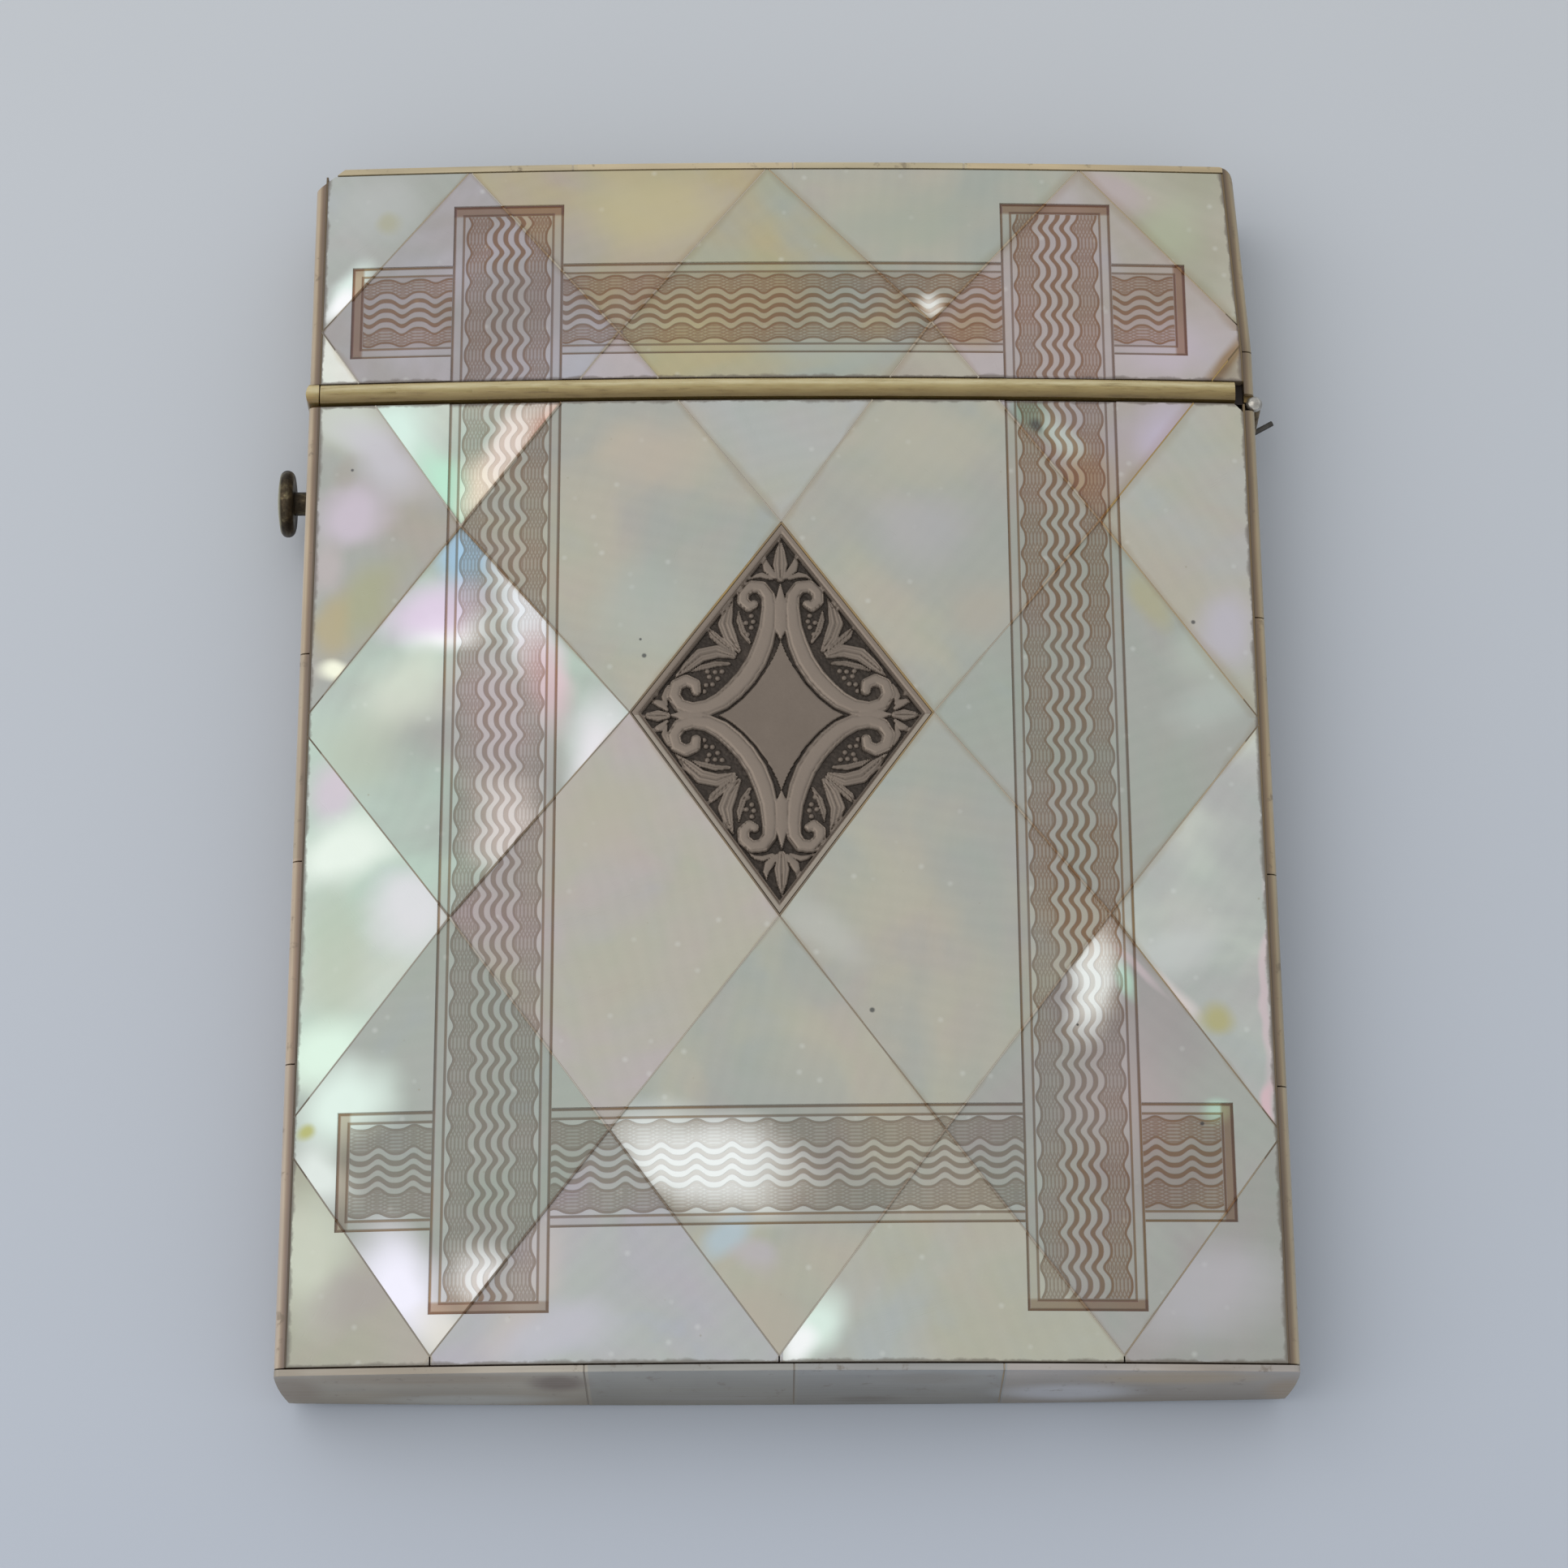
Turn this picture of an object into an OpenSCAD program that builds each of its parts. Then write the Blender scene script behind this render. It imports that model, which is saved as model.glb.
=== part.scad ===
// Mother-of-pearl card case, lying on its back with the silver plaque up.
// X runs across the case to the hinge, Y from the foot to the lid, Z out of the front face.
// The origin is the middle of the foot, halfway through the thickness.

/* [Case] */
// Width across the faces
case_w = 76; // [68:1:88]
// Thickness at the two side edges
edge_t = 7.8; // [7.8:0.1:10]
// Rise of each cushioned face at its middle line
face_rise = 1.1; // [0.9:0.1:1.6]
// Height of the body, from the foot to its mouth
body_h = 79.9; // [76:0.1:84]
// Height of the lid
lid_h = 21.35; // [19:0.05:26]
// Gap between the body and the closed lid
joint_gap = 0.35; // [0.3:0.05:0.5]
// How far the sides draw in at their back edge
side_bow = 0.45; // [0.3:0.05:0.6]
// Width of the worn corner at the lid's top left
worn_w = 2.3; // [1.5:0.1:3]
// Height of the worn corner
worn_h = 1.9; // [1.5:0.1:3]
// How far the lid's right side leans in at its top
lid_lean = 0.95; // [0.5:0.05:1.2]
// Rounding of the lid's top right corner
corner_r = 1.2; // [0.8:0.1:1.4]
// Depth to which the crown of the back has been rubbed flat
back_wear = 0.05; // [0.03:0.01:0.08]

/* [Veneer] */
// Thickness of the pearl on the faces
pearl_t = 0.8; // [0.7:0.05:1]
// Thickness of the strips on the sides
strip_t = 0.8; // [0.75:0.05:1]
// Thickness of the strips on the foot and the top
end_strip_t = 0.5; // [0.4:0.05:0.8]
// Seam between two pieces of pearl
seam = 0.12; // [0.08:0.01:0.2]
// Seam between the pearl and the strips round it
border_seam = 0.15; // [0.1:0.01:0.25]
// Layer of glue under a veneer or between two boards
glue = 0.04; // [0.02:0.01:0.06]

/* [Carcase] */
// Thickness of the front and back boards
board_t = 0.7; // [0.6:0.05:0.8]
// Thickness of the foot board and the top board
end_board_t = 1.2; // [1:0.1:1.6]
// Thickness of the body's left board, behind the button
left_board_t = 1.16; // [1:0.02:1.3]
// Thickness of the body's right board, under the hinge
right_board_t = 2.2; // [1.8:0.1:2.6]
// Thickness of the lid's left board, under the keeper
lid_left_board_t = 0.86; // [0.8:0.02:0.9]
// Thickness of the lid's right board
lid_right_board_t = 1.26; // [1:0.02:1.6]

/* [Card sleeve] */
// Thickness of the sleeve's front and back walls
sleeve_t = 0.62; // [0.56:0.02:0.66]
// Thickness of the sleeve's side walls
sleeve_side_t = 0.6; // [0.5:0.05:0.8]
// Thickness of the pad on the sleeve's floor
floor_pad_t = 0.5; // [0.4:0.1:1]
// How far the sleeve stands out of the body as a collar
collar_h = 5.5; // [4:0.5:6.5]
// Play between the collar and the lid's boards
collar_play = 0.3; // [0.24:0.02:0.34]
// Depth of the pocket beside the sleeve for the spring
spring_pocket = 1.9; // [1.8:0.1:2.4]

/* [Rim] */
// Height of the half-round rim along the lid's lower edge
rim_h = 1.6; // [1.2:0.1:2.2]
// How far the rim stands proud of the faces
rim_proud = 0.35; // [0.2:0.05:0.5]
// How far the rim stands proud of the left side
rim_side_proud = 0.25; // [0.15:0.05:0.4]
// Depth to which the crown of the rim at the back has been rubbed flat
rim_wear = 0.18; // [0.05:0.01:0.2]

/* [Engraved bands] */
// Width of the upright bands
band_w = 9; // [7:0.1:11]
// Width of the lower cross band
low_band_w = 9.4; // [7:0.1:11]
// Width of the lid's cross band
lid_band_w = 8.3; // [7:0.1:11]
// Depth of the engraved ground
band_depth = 0.1; // [0.06:0.01:0.16]
// Distance of the left upright band from the middle line
left_band_x = 22.15; // [18:0.05:26]
// Distance of the right upright band from the middle line
right_band_x = 22.35; // [18:0.05:26]
// Height of the lower cross band's middle line above the foot
low_band_y = 15.9; // [12:0.1:22]
// How far the lower cross band was turned in the laying out, in degrees
low_band_turn = 0.45; // [0:0.05:0.6]
// Distance of the lid's cross band below the top
lid_band_drop = 13.3; // [10:0.1:15]
// How far the lid's cross band was set to the left
lid_band_shift = 1; // [0:0.1:1.5]
// Margin between the cross bands' ends and the sides
band_side_margin = 4.2; // [2:0.1:6]
// Margin between the upright bands' ends and the foot
band_foot_margin = 4.5; // [2:0.1:6]
// Margin between the upright bands' ends and the top
band_top_margin = 3.7; // [2:0.1:6]

/* [Hinge] */
// Radius of the barrel
barrel_r = 0.6; // [0.5:0.05:0.7]
// Radius of the pin's domed head
pin_head_r = 0.68; // [0.6:0.02:0.7]
// Radius of the pin
pin_r = 0.22; // [0.18:0.02:0.26]
// Length of each of the three knuckles
knuckle_l = 1.7; // [1.4:0.1:1.8]
// Height of the barrel's front end above the middle of the thickness
barrel_top = 3.5; // [3.2:0.1:3.6]
// Length of the pin's bent-out tail
tail_l = 2; // [0.8:0.1:2.2]
// Turn of the tail from square to the side
tail_turn = 30; // [20:1:40]
// Length of each leaf under the side strip
leaf_l = 4.2; // [3.5:0.1:6]
// Thickness of a leaf
leaf_t = 0.35; // [0.25:0.05:0.4]

/* [Catch] */
// Distance of the push button below the body's mouth
button_drop = 6.7; // [5:0.1:9]
// Diameter of the button's head
button_d = 5.4; // [4:0.1:6.4]
// Thickness of the button's head
button_t = 1.35; // [1:0.05:1.8]
// Gap between the button's head and the side of the case
button_gap = 1.2; // [1.05:0.05:2.4]
// Radius of the button's neck
neck_r = 0.95; // [0.7:0.05:1.2]
// Play round the neck
neck_play = 0.2; // [0.15:0.05:0.3]
// Length of the spring below the body's mouth
spring_l = 29.5; // [24:0.5:40]
// Width of the spring
spring_w = 4; // [3:0.1:4.2]
// Thickness of the spring
spring_t = 0.3; // [0.2:0.02:0.36]
// Width of the nib at the spring's upper end
nib_w = 3; // [2:0.1:3.2]
// How far the nib hooks out of the spring
nib_reach = 0.8; // [0.6:0.05:0.85]

/* [Hidden] */
$fn = 48;
fine = 900;
chords = 20;
eps = 0.01;
past = 1;

// The cushioned faces are cylinders along Y. Every layer under a face shares the face's axis.
half_w = case_w / 2;
half_t = edge_t / 2;
dome_r = (pow(half_w, 2) + pow(face_rise, 2)) / (2 * face_rise);
dome_c = half_t + face_rise - dome_r;
reach = edge_t + 2 * face_rise + 2;

// Depths below the face
board_in = pearl_t + glue;
board_out = board_in + board_t;
sleeve_in = board_out + glue;
sleeve_out = sleeve_in + sleeve_t;
collar_in = board_out + collar_play;

// Places across the case
inner_x = half_w - strip_t;
pearl_x = inner_x - border_seam;
board_x = inner_x - glue;
left_wall_x = board_x - left_board_t;
sleeve_left_x = left_wall_x - spring_pocket;
sleeve_right_x = board_x - right_board_t - glue;

// Places up the case, from the foot to the top
lid_y = body_h + joint_gap;
case_h = lid_y + lid_h;
rim_top = lid_y + rim_h;
foot_in = end_strip_t + glue;
floor_y = foot_in + end_board_t + glue;
collar_top = body_h + collar_h;
top_in = case_h - end_strip_t - glue;
lid_roof_y = top_in - end_board_t - glue;

// The lattice of lozenges: three half-widths each side of the middle line, with a row of seam
// crossings at each of these shares of the body's height, then of the lid's above its rim.
side_columns = 3;
body_rows = [0.014, 0.233, 0.45, 0.657, 0.866];
lid_rows = [0.235, 0.975];
last_row = len(body_rows) + len(lid_rows) - 1;
plaque_row = 3;
tip_inset = 0.48;
column_step = (half_w - tip_inset) / side_columns;

// How far each crossing was laid off its place by hand, across and up, from the left in each row
drifts = [
  [[-1.4, 0.2], [-0.6, 0], [-0.1, 0]],
  [[-0.7, -0.1], [-0.8, 0.1], [-0.5, 0], [-0.1, -0.2]],
  [[-0.7, 0], [-0.4, -0.2], [0, 0.1]],
  [[-0.3, -0.3], [0.5, 0.3], [-0.8, 0.2], [-0.2, -0.3]],
  [[-0.5, -0.1], [-0.1, -0.1], [0.2, 0.2]],
  [[0.4, 0.2], [-0.6, -0.3], [-0.4, 0.5], [0.2, -0.4]],
  [[-0.4, 0], [-1.1, 0], [-0.6, 0]]
];

// Seams between the strips, as heights on the sides and places across the ends
left_seams = [24.3, 40.8, 58.3];
right_seams = [22.2, 39.4, 61.1];
foot_seams = [-15, 0.5, 16];
top_seams = [-17, 1, 15];
bow_z = 2;
front_edge_r = 0.45;
back_edge_r = 0.8;
back_z = half_t + face_rise - back_wear;
chip_w = 0.7;
chip_h = 0.75;

hinge_x = half_w;
hinge_y = body_h + joint_gap / 2;
knuckle_gap = 0.06;
barrel_play = 0.15;
pin_play = 0.02;
barrel_foot = barrel_top - 3 * knuckle_l - 2 * knuckle_gap;
tail_bend_r = 0.4;
pin_stub = 0.2;
pin_foot = barrel_foot - pin_stub;
pin_head_h = 0.6;
leaf_foot = -2.3;
leaf_top = 3.2;
leaf_play = 0.05;
leaf_nail_places = [0.27, 0.73];
lean_y = lid_y + leaf_l + 2 * leaf_play;
lean_turn = atan(lid_lean / (case_h - lean_y));
nail_r = 0.35;
nail_l = 1.1;
nail_fit = 0.01;

button_y = body_h - button_drop;
spring_foot = body_h - spring_l;
button_crown = 0.24;
button_round = 0.43;
tenon_r = 0.5;
tenon_proud = 0.1;
spring_lift = 0.05;
spring_x = -left_wall_x + spring_lift;
packing_drop = 2;
nib_rise = 0.2;
nib_y = rim_top + nib_rise;
nib_h = 1.2;
nib_lip = 0.3;
spring_over = 0.4;
spring_top = nib_y + nib_h + spring_over;
rivet_r = 0.35;
rivet_head_r = 0.75;
rivet_head_h = 0.3;
rivet_lift = 0.15;
rivet_steps = [1.1, 2.9];
keeper_t = 0.3;
keeper_x = -board_x + lid_left_board_t;
keeper_play = 0.3;
keeper_rise = 0.2;
keeper_over = 1.9;
keeper_foot = lid_y + keeper_rise;
keeper_top = nib_y + nib_h + keeper_over;
keeper_w = 2 * face_z(board_x, sleeve_in);
keeper_nail_drop = 0.75;
nib_play = 0.2;

function row(k) = k < len(body_rows) ? body_rows[k] * body_h
  : rim_top + lid_rows[k - len(body_rows)] * (case_h - rim_top);
function drift(i, k) = abs(i) > side_columns ? [0, 0] : drifts[k][floor((i + side_columns) / 2)];
function crossing(i, k) = [i * column_step, row(k)] + drift(i, k);
function left_of(step) = [-step[1], step[0]] / norm(step);
function middle(z0, z1) = (z0 + z1) / 2;
function face_z(x, depth) = sqrt(pow(dome_r - depth, 2) - x * x) + dome_c;

// A shape drawn across the thickness, X and Z, run along the case from y0 to y1
module along(y0, y1) {
  translate([0, y1, 0]) rotate([90, 0, 0]) linear_extrude(y1 - y0) children();
}

// A shape drawn on the face, X and Y, run right through the front half of the case
module through() {
  linear_extrude(reach) children();
}

// The back of the case mirrors the front
module on_back() {
  mirror([0, 0, 1]) children();
}

module face_disc(depth) {
  translate([0, dome_c]) circle(dome_r - depth, $fn = fine);
}

// The case's own section, drawn in by a depth
module lens(depth) {
  intersection() {
    face_disc(depth);
    mirror([0, 1]) face_disc(depth);
  }
}

// The part of that section between two places across the case
module lens_part(depth, x0, x1) {
  intersection() {
    lens(depth);
    translate([x0, -reach]) square([x1 - x0, 2 * reach]);
  }
}

// An upright board between two places across the case, as deep as its outer edge has room for
module side_board(y0, y1, x0, x1, depth) {
  half_d = min(face_z(x0, depth), face_z(x1, depth));
  translate([x0, y0, -half_d]) cube([x1 - x0, y1 - y0, 2 * half_d]);
}

// The case's section drawn in by a depth, in straight chords from side to side
module chord_part(depth, x0, x1) {
  xs = [for (i = [0 : chords]) x0 + (x1 - x0) * i / chords];
  polygon(concat(
    [for (x = xs) [x, face_z(x, depth)]],
    [for (i = [chords : -1 : 0]) [xs[i], -face_z(xs[i], depth)]]
  ));
}

// The section of one layer under the front face
module layer(depth_0, depth_1, x0, x1) {
  intersection() {
    difference() {
      face_disc(depth_0);
      face_disc(depth_1);
    }
    translate([x0, 0]) square([x1 - x0, reach]);
  }
}

module edge_cut(z, r, up) {
  translate([half_w, z]) mirror([0, up ? 0 : 1]) difference() {
    translate([-r, -r]) square(r + past);
    translate([-r, -r]) circle(r);
  }
}

// The case's section from a place across it to its right side, which is bowed and has worn edges
module section_from(x0) {
  bow_r = pow(half_t + bow_z, 2) / (2 * side_bow);
  difference() {
    intersection() {
      lens_part(0, x0, half_w + eps);
      translate([half_w - bow_r, bow_z]) circle(bow_r, $fn = fine);
    }
    edge_cut(half_t, front_edge_r, true);
    edge_cut(-half_t, back_edge_r, false);
  }
}

module side_section() {
  section_from(inner_x);
}

// The case's section without the part of the back that has been rubbed flat
module off_floor() {
  intersection() {
    children();
    translate([-half_w, -back_z]) square([case_w, back_z + reach]);
  }
}

// The corner of the lid that has worn away
module worn_corner() {
  low = -worn_h - past * worn_h / worn_w;
  far = worn_w + past * worn_w / worn_h;
  translate([-half_w, case_h, -reach]) linear_extrude(2 * reach)
    polygon([[-past, past], [-past, low], [far, past]]);
}

// What the lean of the lid's right side takes off beyond a place across the case
module leaning(x) {
  translate([x, lean_y, -reach]) rotate([0, 0, lean_turn])
    cube([2 * reach, 2 * lid_h, 2 * reach]);
}

module round_corner() {
  translate([half_w - lid_lean - corner_r, case_h - corner_r, -reach]) linear_extrude(2 * reach)
    difference() {
      square(corner_r + 2 * past);
      circle(corner_r);
    }
}

// A lozenge between four crossings, anticlockwise. The first row and the last one run straight on
// over the case's ends.
function lozenge_corners(i, k) =
  let (left = crossing(i - 1, k), right = crossing(i + 1, k)) concat(
    [left],
    k > 0 ? [crossing(i, k - 1)] : [[left[0], -past], [right[0], -past]],
    [right],
    k < last_row ? [crossing(i, k + 1)] : [[right[0], case_h + past], [left[0], case_h + past]]
  );

// The same outline drawn in by a distance
function drawn_in(corners, d) = let (n = len(corners)) [
  for (j = [0 : n - 1])
    let (
      before = left_of(corners[j] - corners[(j + n - 1) % n]),
      after = left_of(corners[(j + 1) % n] - corners[j])
    ) corners[j] + d * (before + after) / (1 + before * after)
];

module lozenge(i, k) {
  polygon(drawn_in(lozenge_corners(i, k), seam / 2));
}

module lozenge_row(k, with_plaque) {
  for (i = [-side_columns : side_columns])
    if ((i + k) % 2 != 0 && (with_plaque || i != 0 || k != plaque_row)) lozenge(i, k);
}

module cross_band(w) {
  square([case_w - 2 * band_side_margin, w], center = true);
}

module bands() {
  for (x = [-left_band_x, right_band_x])
    translate([x - band_w / 2, band_foot_margin])
      square([band_w, case_h - band_foot_margin - band_top_margin]);
  translate([0, low_band_y]) rotate(low_band_turn) cross_band(low_band_w);
  translate([-lid_band_shift, case_h - lid_band_drop]) cross_band(lid_band_w);
}

// One sheet of pearl for the front, with the ground of the bands let into it
module front_sheet(y0, y1) {
  difference() {
    along(y0, y1) layer(0, pearl_t, -pearl_x, pearl_x);
    intersection() {
      through() bands();
      along(y0 - past, y1 + past) layer(-past, band_depth, -pearl_x - past, pearl_x + past);
    }
  }
}

module plain_sheet(y0, y1) {
  along(y0, y1) layer(0, pearl_t, -pearl_x, pearl_x);
}

// The back's sheet, with the crown rubbed flat where the case has lain
module rubbed_sheet(y0, y1) {
  along(y0, y1) intersection() {
    layer(0, pearl_t, -pearl_x, pearl_x);
    translate([-half_w, 0]) square([case_w, back_z]);
  }
}

module front_row(k, y0, y1) {
  intersection() {
    front_sheet(y0, y1);
    through() lozenge_row(k, false);
  }
}

module back_row(k, y0, y1) {
  on_back() intersection() {
    rubbed_sheet(y0, y1);
    through() lozenge_row(k, true);
  }
}

// The pearl has broken away at the mouth beside the hinge
module chipped_corner() {
  translate([pearl_x, body_h, 0]) through()
    polygon([[past, past], [-chip_w, past], [-chip_w, 0], [0, -chip_h], [past, -chip_h]]);
}

module body_front_row(k) {
  color("gainsboro") difference() {
    front_row(k, end_strip_t + border_seam, body_h);
    chipped_corner();
  }
}

module body_back_row(k) {
  color("gainsboro") back_row(k, end_strip_t + border_seam, body_h);
}

module lid_front_row(k) {
  color("ivory") difference() {
    front_row(k, rim_top + seam, case_h - end_strip_t - border_seam);
    worn_corner();
    leaning(pearl_x);
  }
}

module lid_back_row(k) {
  color("ivory") difference() {
    back_row(k, rim_top + seam, case_h - end_strip_t - border_seam);
    worn_corner();
    leaning(pearl_x);
  }
}

// The silver plaque takes the place of the middle lozenge, flush with the pearl
module plaque() {
  color("dimgray") intersection() {
    plain_sheet(0, body_h);
    through() lozenge(0, plaque_row);
  }
}

// Strips along a side, parted at the seams
module parted(seams, y0, y1) {
  ends = concat([y0 - seam / 2], seams, [y1 + seam / 2]);
  for (i = [0 : len(ends) - 2])
    along(ends[i] + seam / 2, ends[i + 1] - seam / 2) children();
}

module across_parted(ends) {
  for (i = [0 : len(ends) - 2])
    off_floor() lens_part(0, ends[i] + seam / 2, ends[i + 1] - seam / 2);
}

// The outer two run right out to the sides
module foot_strips() {
  color("silver") along(0, end_strip_t) {
    off_floor() mirror([1, 0]) section_from(seam / 2 - foot_seams[0]);
    across_parted(foot_seams);
    off_floor() section_from(seam / 2 + foot_seams[len(foot_seams) - 1]);
  }
}

module top_strips() {
  color("silver") difference() {
    along(case_h - end_strip_t, case_h) across_parted(concat([-inner_x], top_seams, [inner_x]));
    worn_corner();
    leaning(inner_x);
    round_corner();
  }
}

// Everything that the hinge needs cut out of the strips beside the joint
module hinge_rebate() {
  depth = barrel_r + barrel_play;
  translate([inner_x - eps, hinge_y - depth, pin_foot - tail_bend_r - pin_r - barrel_play])
    cube([strip_t + barrel_r, 2 * depth, reach]);
}

module leaf_recess(y0, y1) {
  translate([inner_x - eps, y0 - leaf_play, leaf_foot - leaf_play])
    cube([leaf_t + leaf_play + eps, y1 - y0 + 2 * leaf_play, leaf_top - leaf_foot + 2 * leaf_play]);
}

module body_right_strips() {
  color("burlywood") difference() {
    parted(right_seams, end_strip_t + seam, body_h) side_section();
    hinge_rebate();
    leaf_recess(body_h - leaf_l, body_h);
  }
}

module button_bore(r) {
  translate([-half_w - past, button_y, 0]) rotate([0, 90, 0])
    cylinder(h = strip_t + left_board_t + 2 * past, r = r);
}

module body_left_strips() {
  color("burlywood") difference() {
    mirror([1, 0, 0]) parted(left_seams, end_strip_t + seam, body_h) side_section();
    button_bore(neck_r + neck_play);
  }
}

// Two strips: a short straight one beside the hinge and one above it that leans in
module lid_right_strip() {
  color("burlywood") difference() {
    union() {
      along(lid_y, lean_y) side_section();
      intersection() {
        translate([inner_x, lean_y, 0]) rotate([0, 0, lean_turn]) translate([-inner_x, -lean_y, 0])
          along(lean_y - past, case_h + past) side_section();
        translate([0, lean_y + seam, -reach]) cube([half_w, case_h - lean_y - seam, 2 * reach]);
      }
    }
    hinge_rebate();
    leaf_recess(lid_y, lid_y + leaf_l);
    round_corner();
  }
}

module lid_left_strip() {
  color("burlywood") difference() {
    mirror([1, 0, 0]) along(rim_top + seam, case_h) side_section();
    worn_corner();
  }
}

module body_front_board() {
  color("saddlebrown") along(floor_y, body_h) layer(board_in, board_out, -board_x, board_x);
}

module body_back_board() {
  color("saddlebrown") on_back()
    along(floor_y, body_h) layer(board_in, board_out, -board_x, board_x);
}

module rivet_bores(r) {
  for (step = rivet_steps)
    translate([-half_w, spring_foot + step, 0]) rotate([0, 90, 0]) cylinder(h = half_w / 2, r = r);
}

module body_left_board() {
  color("peru") difference() {
    side_board(floor_y, body_h, -board_x, -left_wall_x, sleeve_in);
    button_bore(neck_r + neck_play);
    rivet_bores(rivet_r + nail_fit);
  }
}

module leaf_nail_spots(y0) {
  for (place = leaf_nail_places)
    translate([inner_x, y0 + place * leaf_l, middle(leaf_foot, leaf_top)]) children();
}

module leaf_nails(y0) {
  leaf_nail_spots(y0) rotate([0, 90, 0])
    translate([0, 0, -nail_l]) cylinder(h = nail_l + leaf_t, r = nail_r);
}

module leaf_nail_bores(y0) {
  leaf_nail_spots(y0) rotate([0, 90, 0])
    translate([0, 0, -nail_l - nail_fit]) cylinder(h = nail_l + leaf_t + past, r = nail_r + nail_fit);
}

body_leaf_y = body_h - leaf_l;
lid_leaf_y = lid_y;

module body_right_board() {
  color("peru") difference() {
    side_board(floor_y, body_h, board_x - right_board_t, board_x, sleeve_in);
    leaf_nail_bores(body_leaf_y);
  }
}

module foot_board() {
  color("peru") along(foot_in, foot_in + end_board_t) lens_part(board_in, -board_x, board_x);
}

// The sleeve's wide walls fill the space under the boards and are pared down above the mouth
module sleeve_wall() {
  along(floor_y, body_h) layer(sleeve_in, sleeve_out, -sleeve_left_x, sleeve_right_x);
  along(body_h - eps, collar_top) layer(collar_in, sleeve_out, -sleeve_left_x, sleeve_right_x);
}

module sleeve_front() {
  color("lavender") sleeve_wall();
}

module sleeve_back() {
  color("lavender") on_back() sleeve_wall();
}

module sleeve_left() {
  color("thistle")
    side_board(floor_y, collar_top, -sleeve_left_x, -sleeve_left_x + sleeve_side_t, sleeve_out + glue);
}

module sleeve_right() {
  color("thistle")
    side_board(floor_y, collar_top, sleeve_right_x - sleeve_side_t, sleeve_right_x, sleeve_out + glue);
}

module sleeve_floor() {
  color("thistle") along(floor_y, floor_y + floor_pad_t)
    chord_part(
      sleeve_out + glue,
      -sleeve_left_x + sleeve_side_t + glue,
      sleeve_right_x - sleeve_side_t - glue
    );
}

// Packing between the left board and the sleeve, below the spring
module sleeve_packing() {
  color("tan")
    side_board(floor_y, spring_foot - packing_drop, -left_wall_x + glue, -sleeve_left_x - glue, sleeve_in);
}

module lid_front_board() {
  color("saddlebrown") difference() {
    along(lid_y, lid_roof_y) layer(board_in, board_out, -board_x, board_x);
    worn_corner();
    leaning(board_x);
  }
}

module lid_back_board() {
  color("saddlebrown") difference() {
    on_back() along(lid_y, lid_roof_y) layer(board_in, board_out, -board_x, board_x);
    worn_corner();
    leaning(board_x);
  }
}

module keeper_recess() {
  translate([keeper_x - keeper_t - glue, keeper_foot - glue, -keeper_w / 2 - glue])
    cube([keeper_t + past, keeper_top - keeper_foot + 2 * glue, keeper_w + 2 * glue]);
}

module keeper_window(depth) {
  translate([keeper_x - depth, nib_y - keeper_play, -nib_w / 2 - keeper_play])
    cube([depth + past, nib_h + 2 * keeper_play, nib_w + 2 * keeper_play]);
}

module keeper_nail_spots() {
  translate([keeper_x, keeper_top - keeper_nail_drop, 0])
    for (side = [-1, 1]) translate([0, 0, side * keeper_w / 4]) rotate([0, -90, 0]) children();
}

module lid_left_board() {
  color("peru") difference() {
    side_board(lid_y, lid_roof_y, -board_x, keeper_x, sleeve_in);
    keeper_recess();
    keeper_window(keeper_x - (spring_x - nib_reach) + nib_play);
    keeper_nail_spots() cylinder(h = 2 * keeper_t + nail_fit, r = nail_r + nail_fit);
  }
}

module lid_right_board() {
  color("peru") difference() {
    side_board(lid_y, lid_roof_y, board_x - lid_right_board_t, board_x, sleeve_in);
    leaf_nail_bores(lid_leaf_y);
    leaning(board_x);
  }
}

module top_board() {
  color("peru") difference() {
    along(lid_roof_y + glue, top_in) lens_part(board_in, -board_x, board_x);
    worn_corner();
    leaning(board_x);
  }
}

// The half-round rim follows the cushion of the face, so it is turned about the face's own axis
module rim_profile(proud) {
  round_r = (pow(rim_h / 2, 2) + pow(proud, 2)) / (2 * proud);
  intersection() {
    translate([-board_in, 0]) square([board_in + proud, rim_h]);
    union() {
      translate([-board_in, 0]) square([board_in, rim_h]);
      translate([proud - round_r, rim_h / 2]) circle(round_r);
    }
  }
}

module face_rim() {
  spare = 0.1;
  turn = asin(half_w / dome_r) + spare;
  intersection() {
    translate([0, lid_y, dome_c]) rotate([-90, 0, 0]) rotate([0, 0, -90 - turn])
      rotate_extrude(angle = 2 * turn, $fn = fine) translate([dome_r, 0]) rim_profile(rim_proud);
    translate([-inner_x + seam, lid_y - past, 0])
      cube([2 * inner_x - barrel_r - barrel_play - seam, rim_h + 2 * past, reach]);
  }
}

module lid_front_rim() {
  color("tan") face_rim();
}

module lid_back_rim() {
  color("tan") on_back() difference() {
    face_rim();
    translate([-half_w, lid_y - past, half_t + face_rise + rim_proud - rim_wear])
      cube([case_w, rim_h + 2 * past, reach]);
  }
}

module lid_left_rim() {
  half_d = half_t + rim_proud / 2;
  color("tan") translate([-half_w, lid_y, -half_d]) mirror([1, 0, 0]) linear_extrude(2 * half_d)
    intersection() {
      rim_profile(rim_side_proud);
      translate([-strip_t, 0]) square([strip_t + rim_side_proud, rim_h]);
    }
}

module knuckle(z0) {
  translate([hinge_x, hinge_y, z0]) cylinder(h = knuckle_l, r = barrel_r);
}

module leaf_plate(y0, y1) {
  translate([inner_x, y0, leaf_foot]) cube([leaf_t, y1 - y0, leaf_top - leaf_foot]);
}

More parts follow.
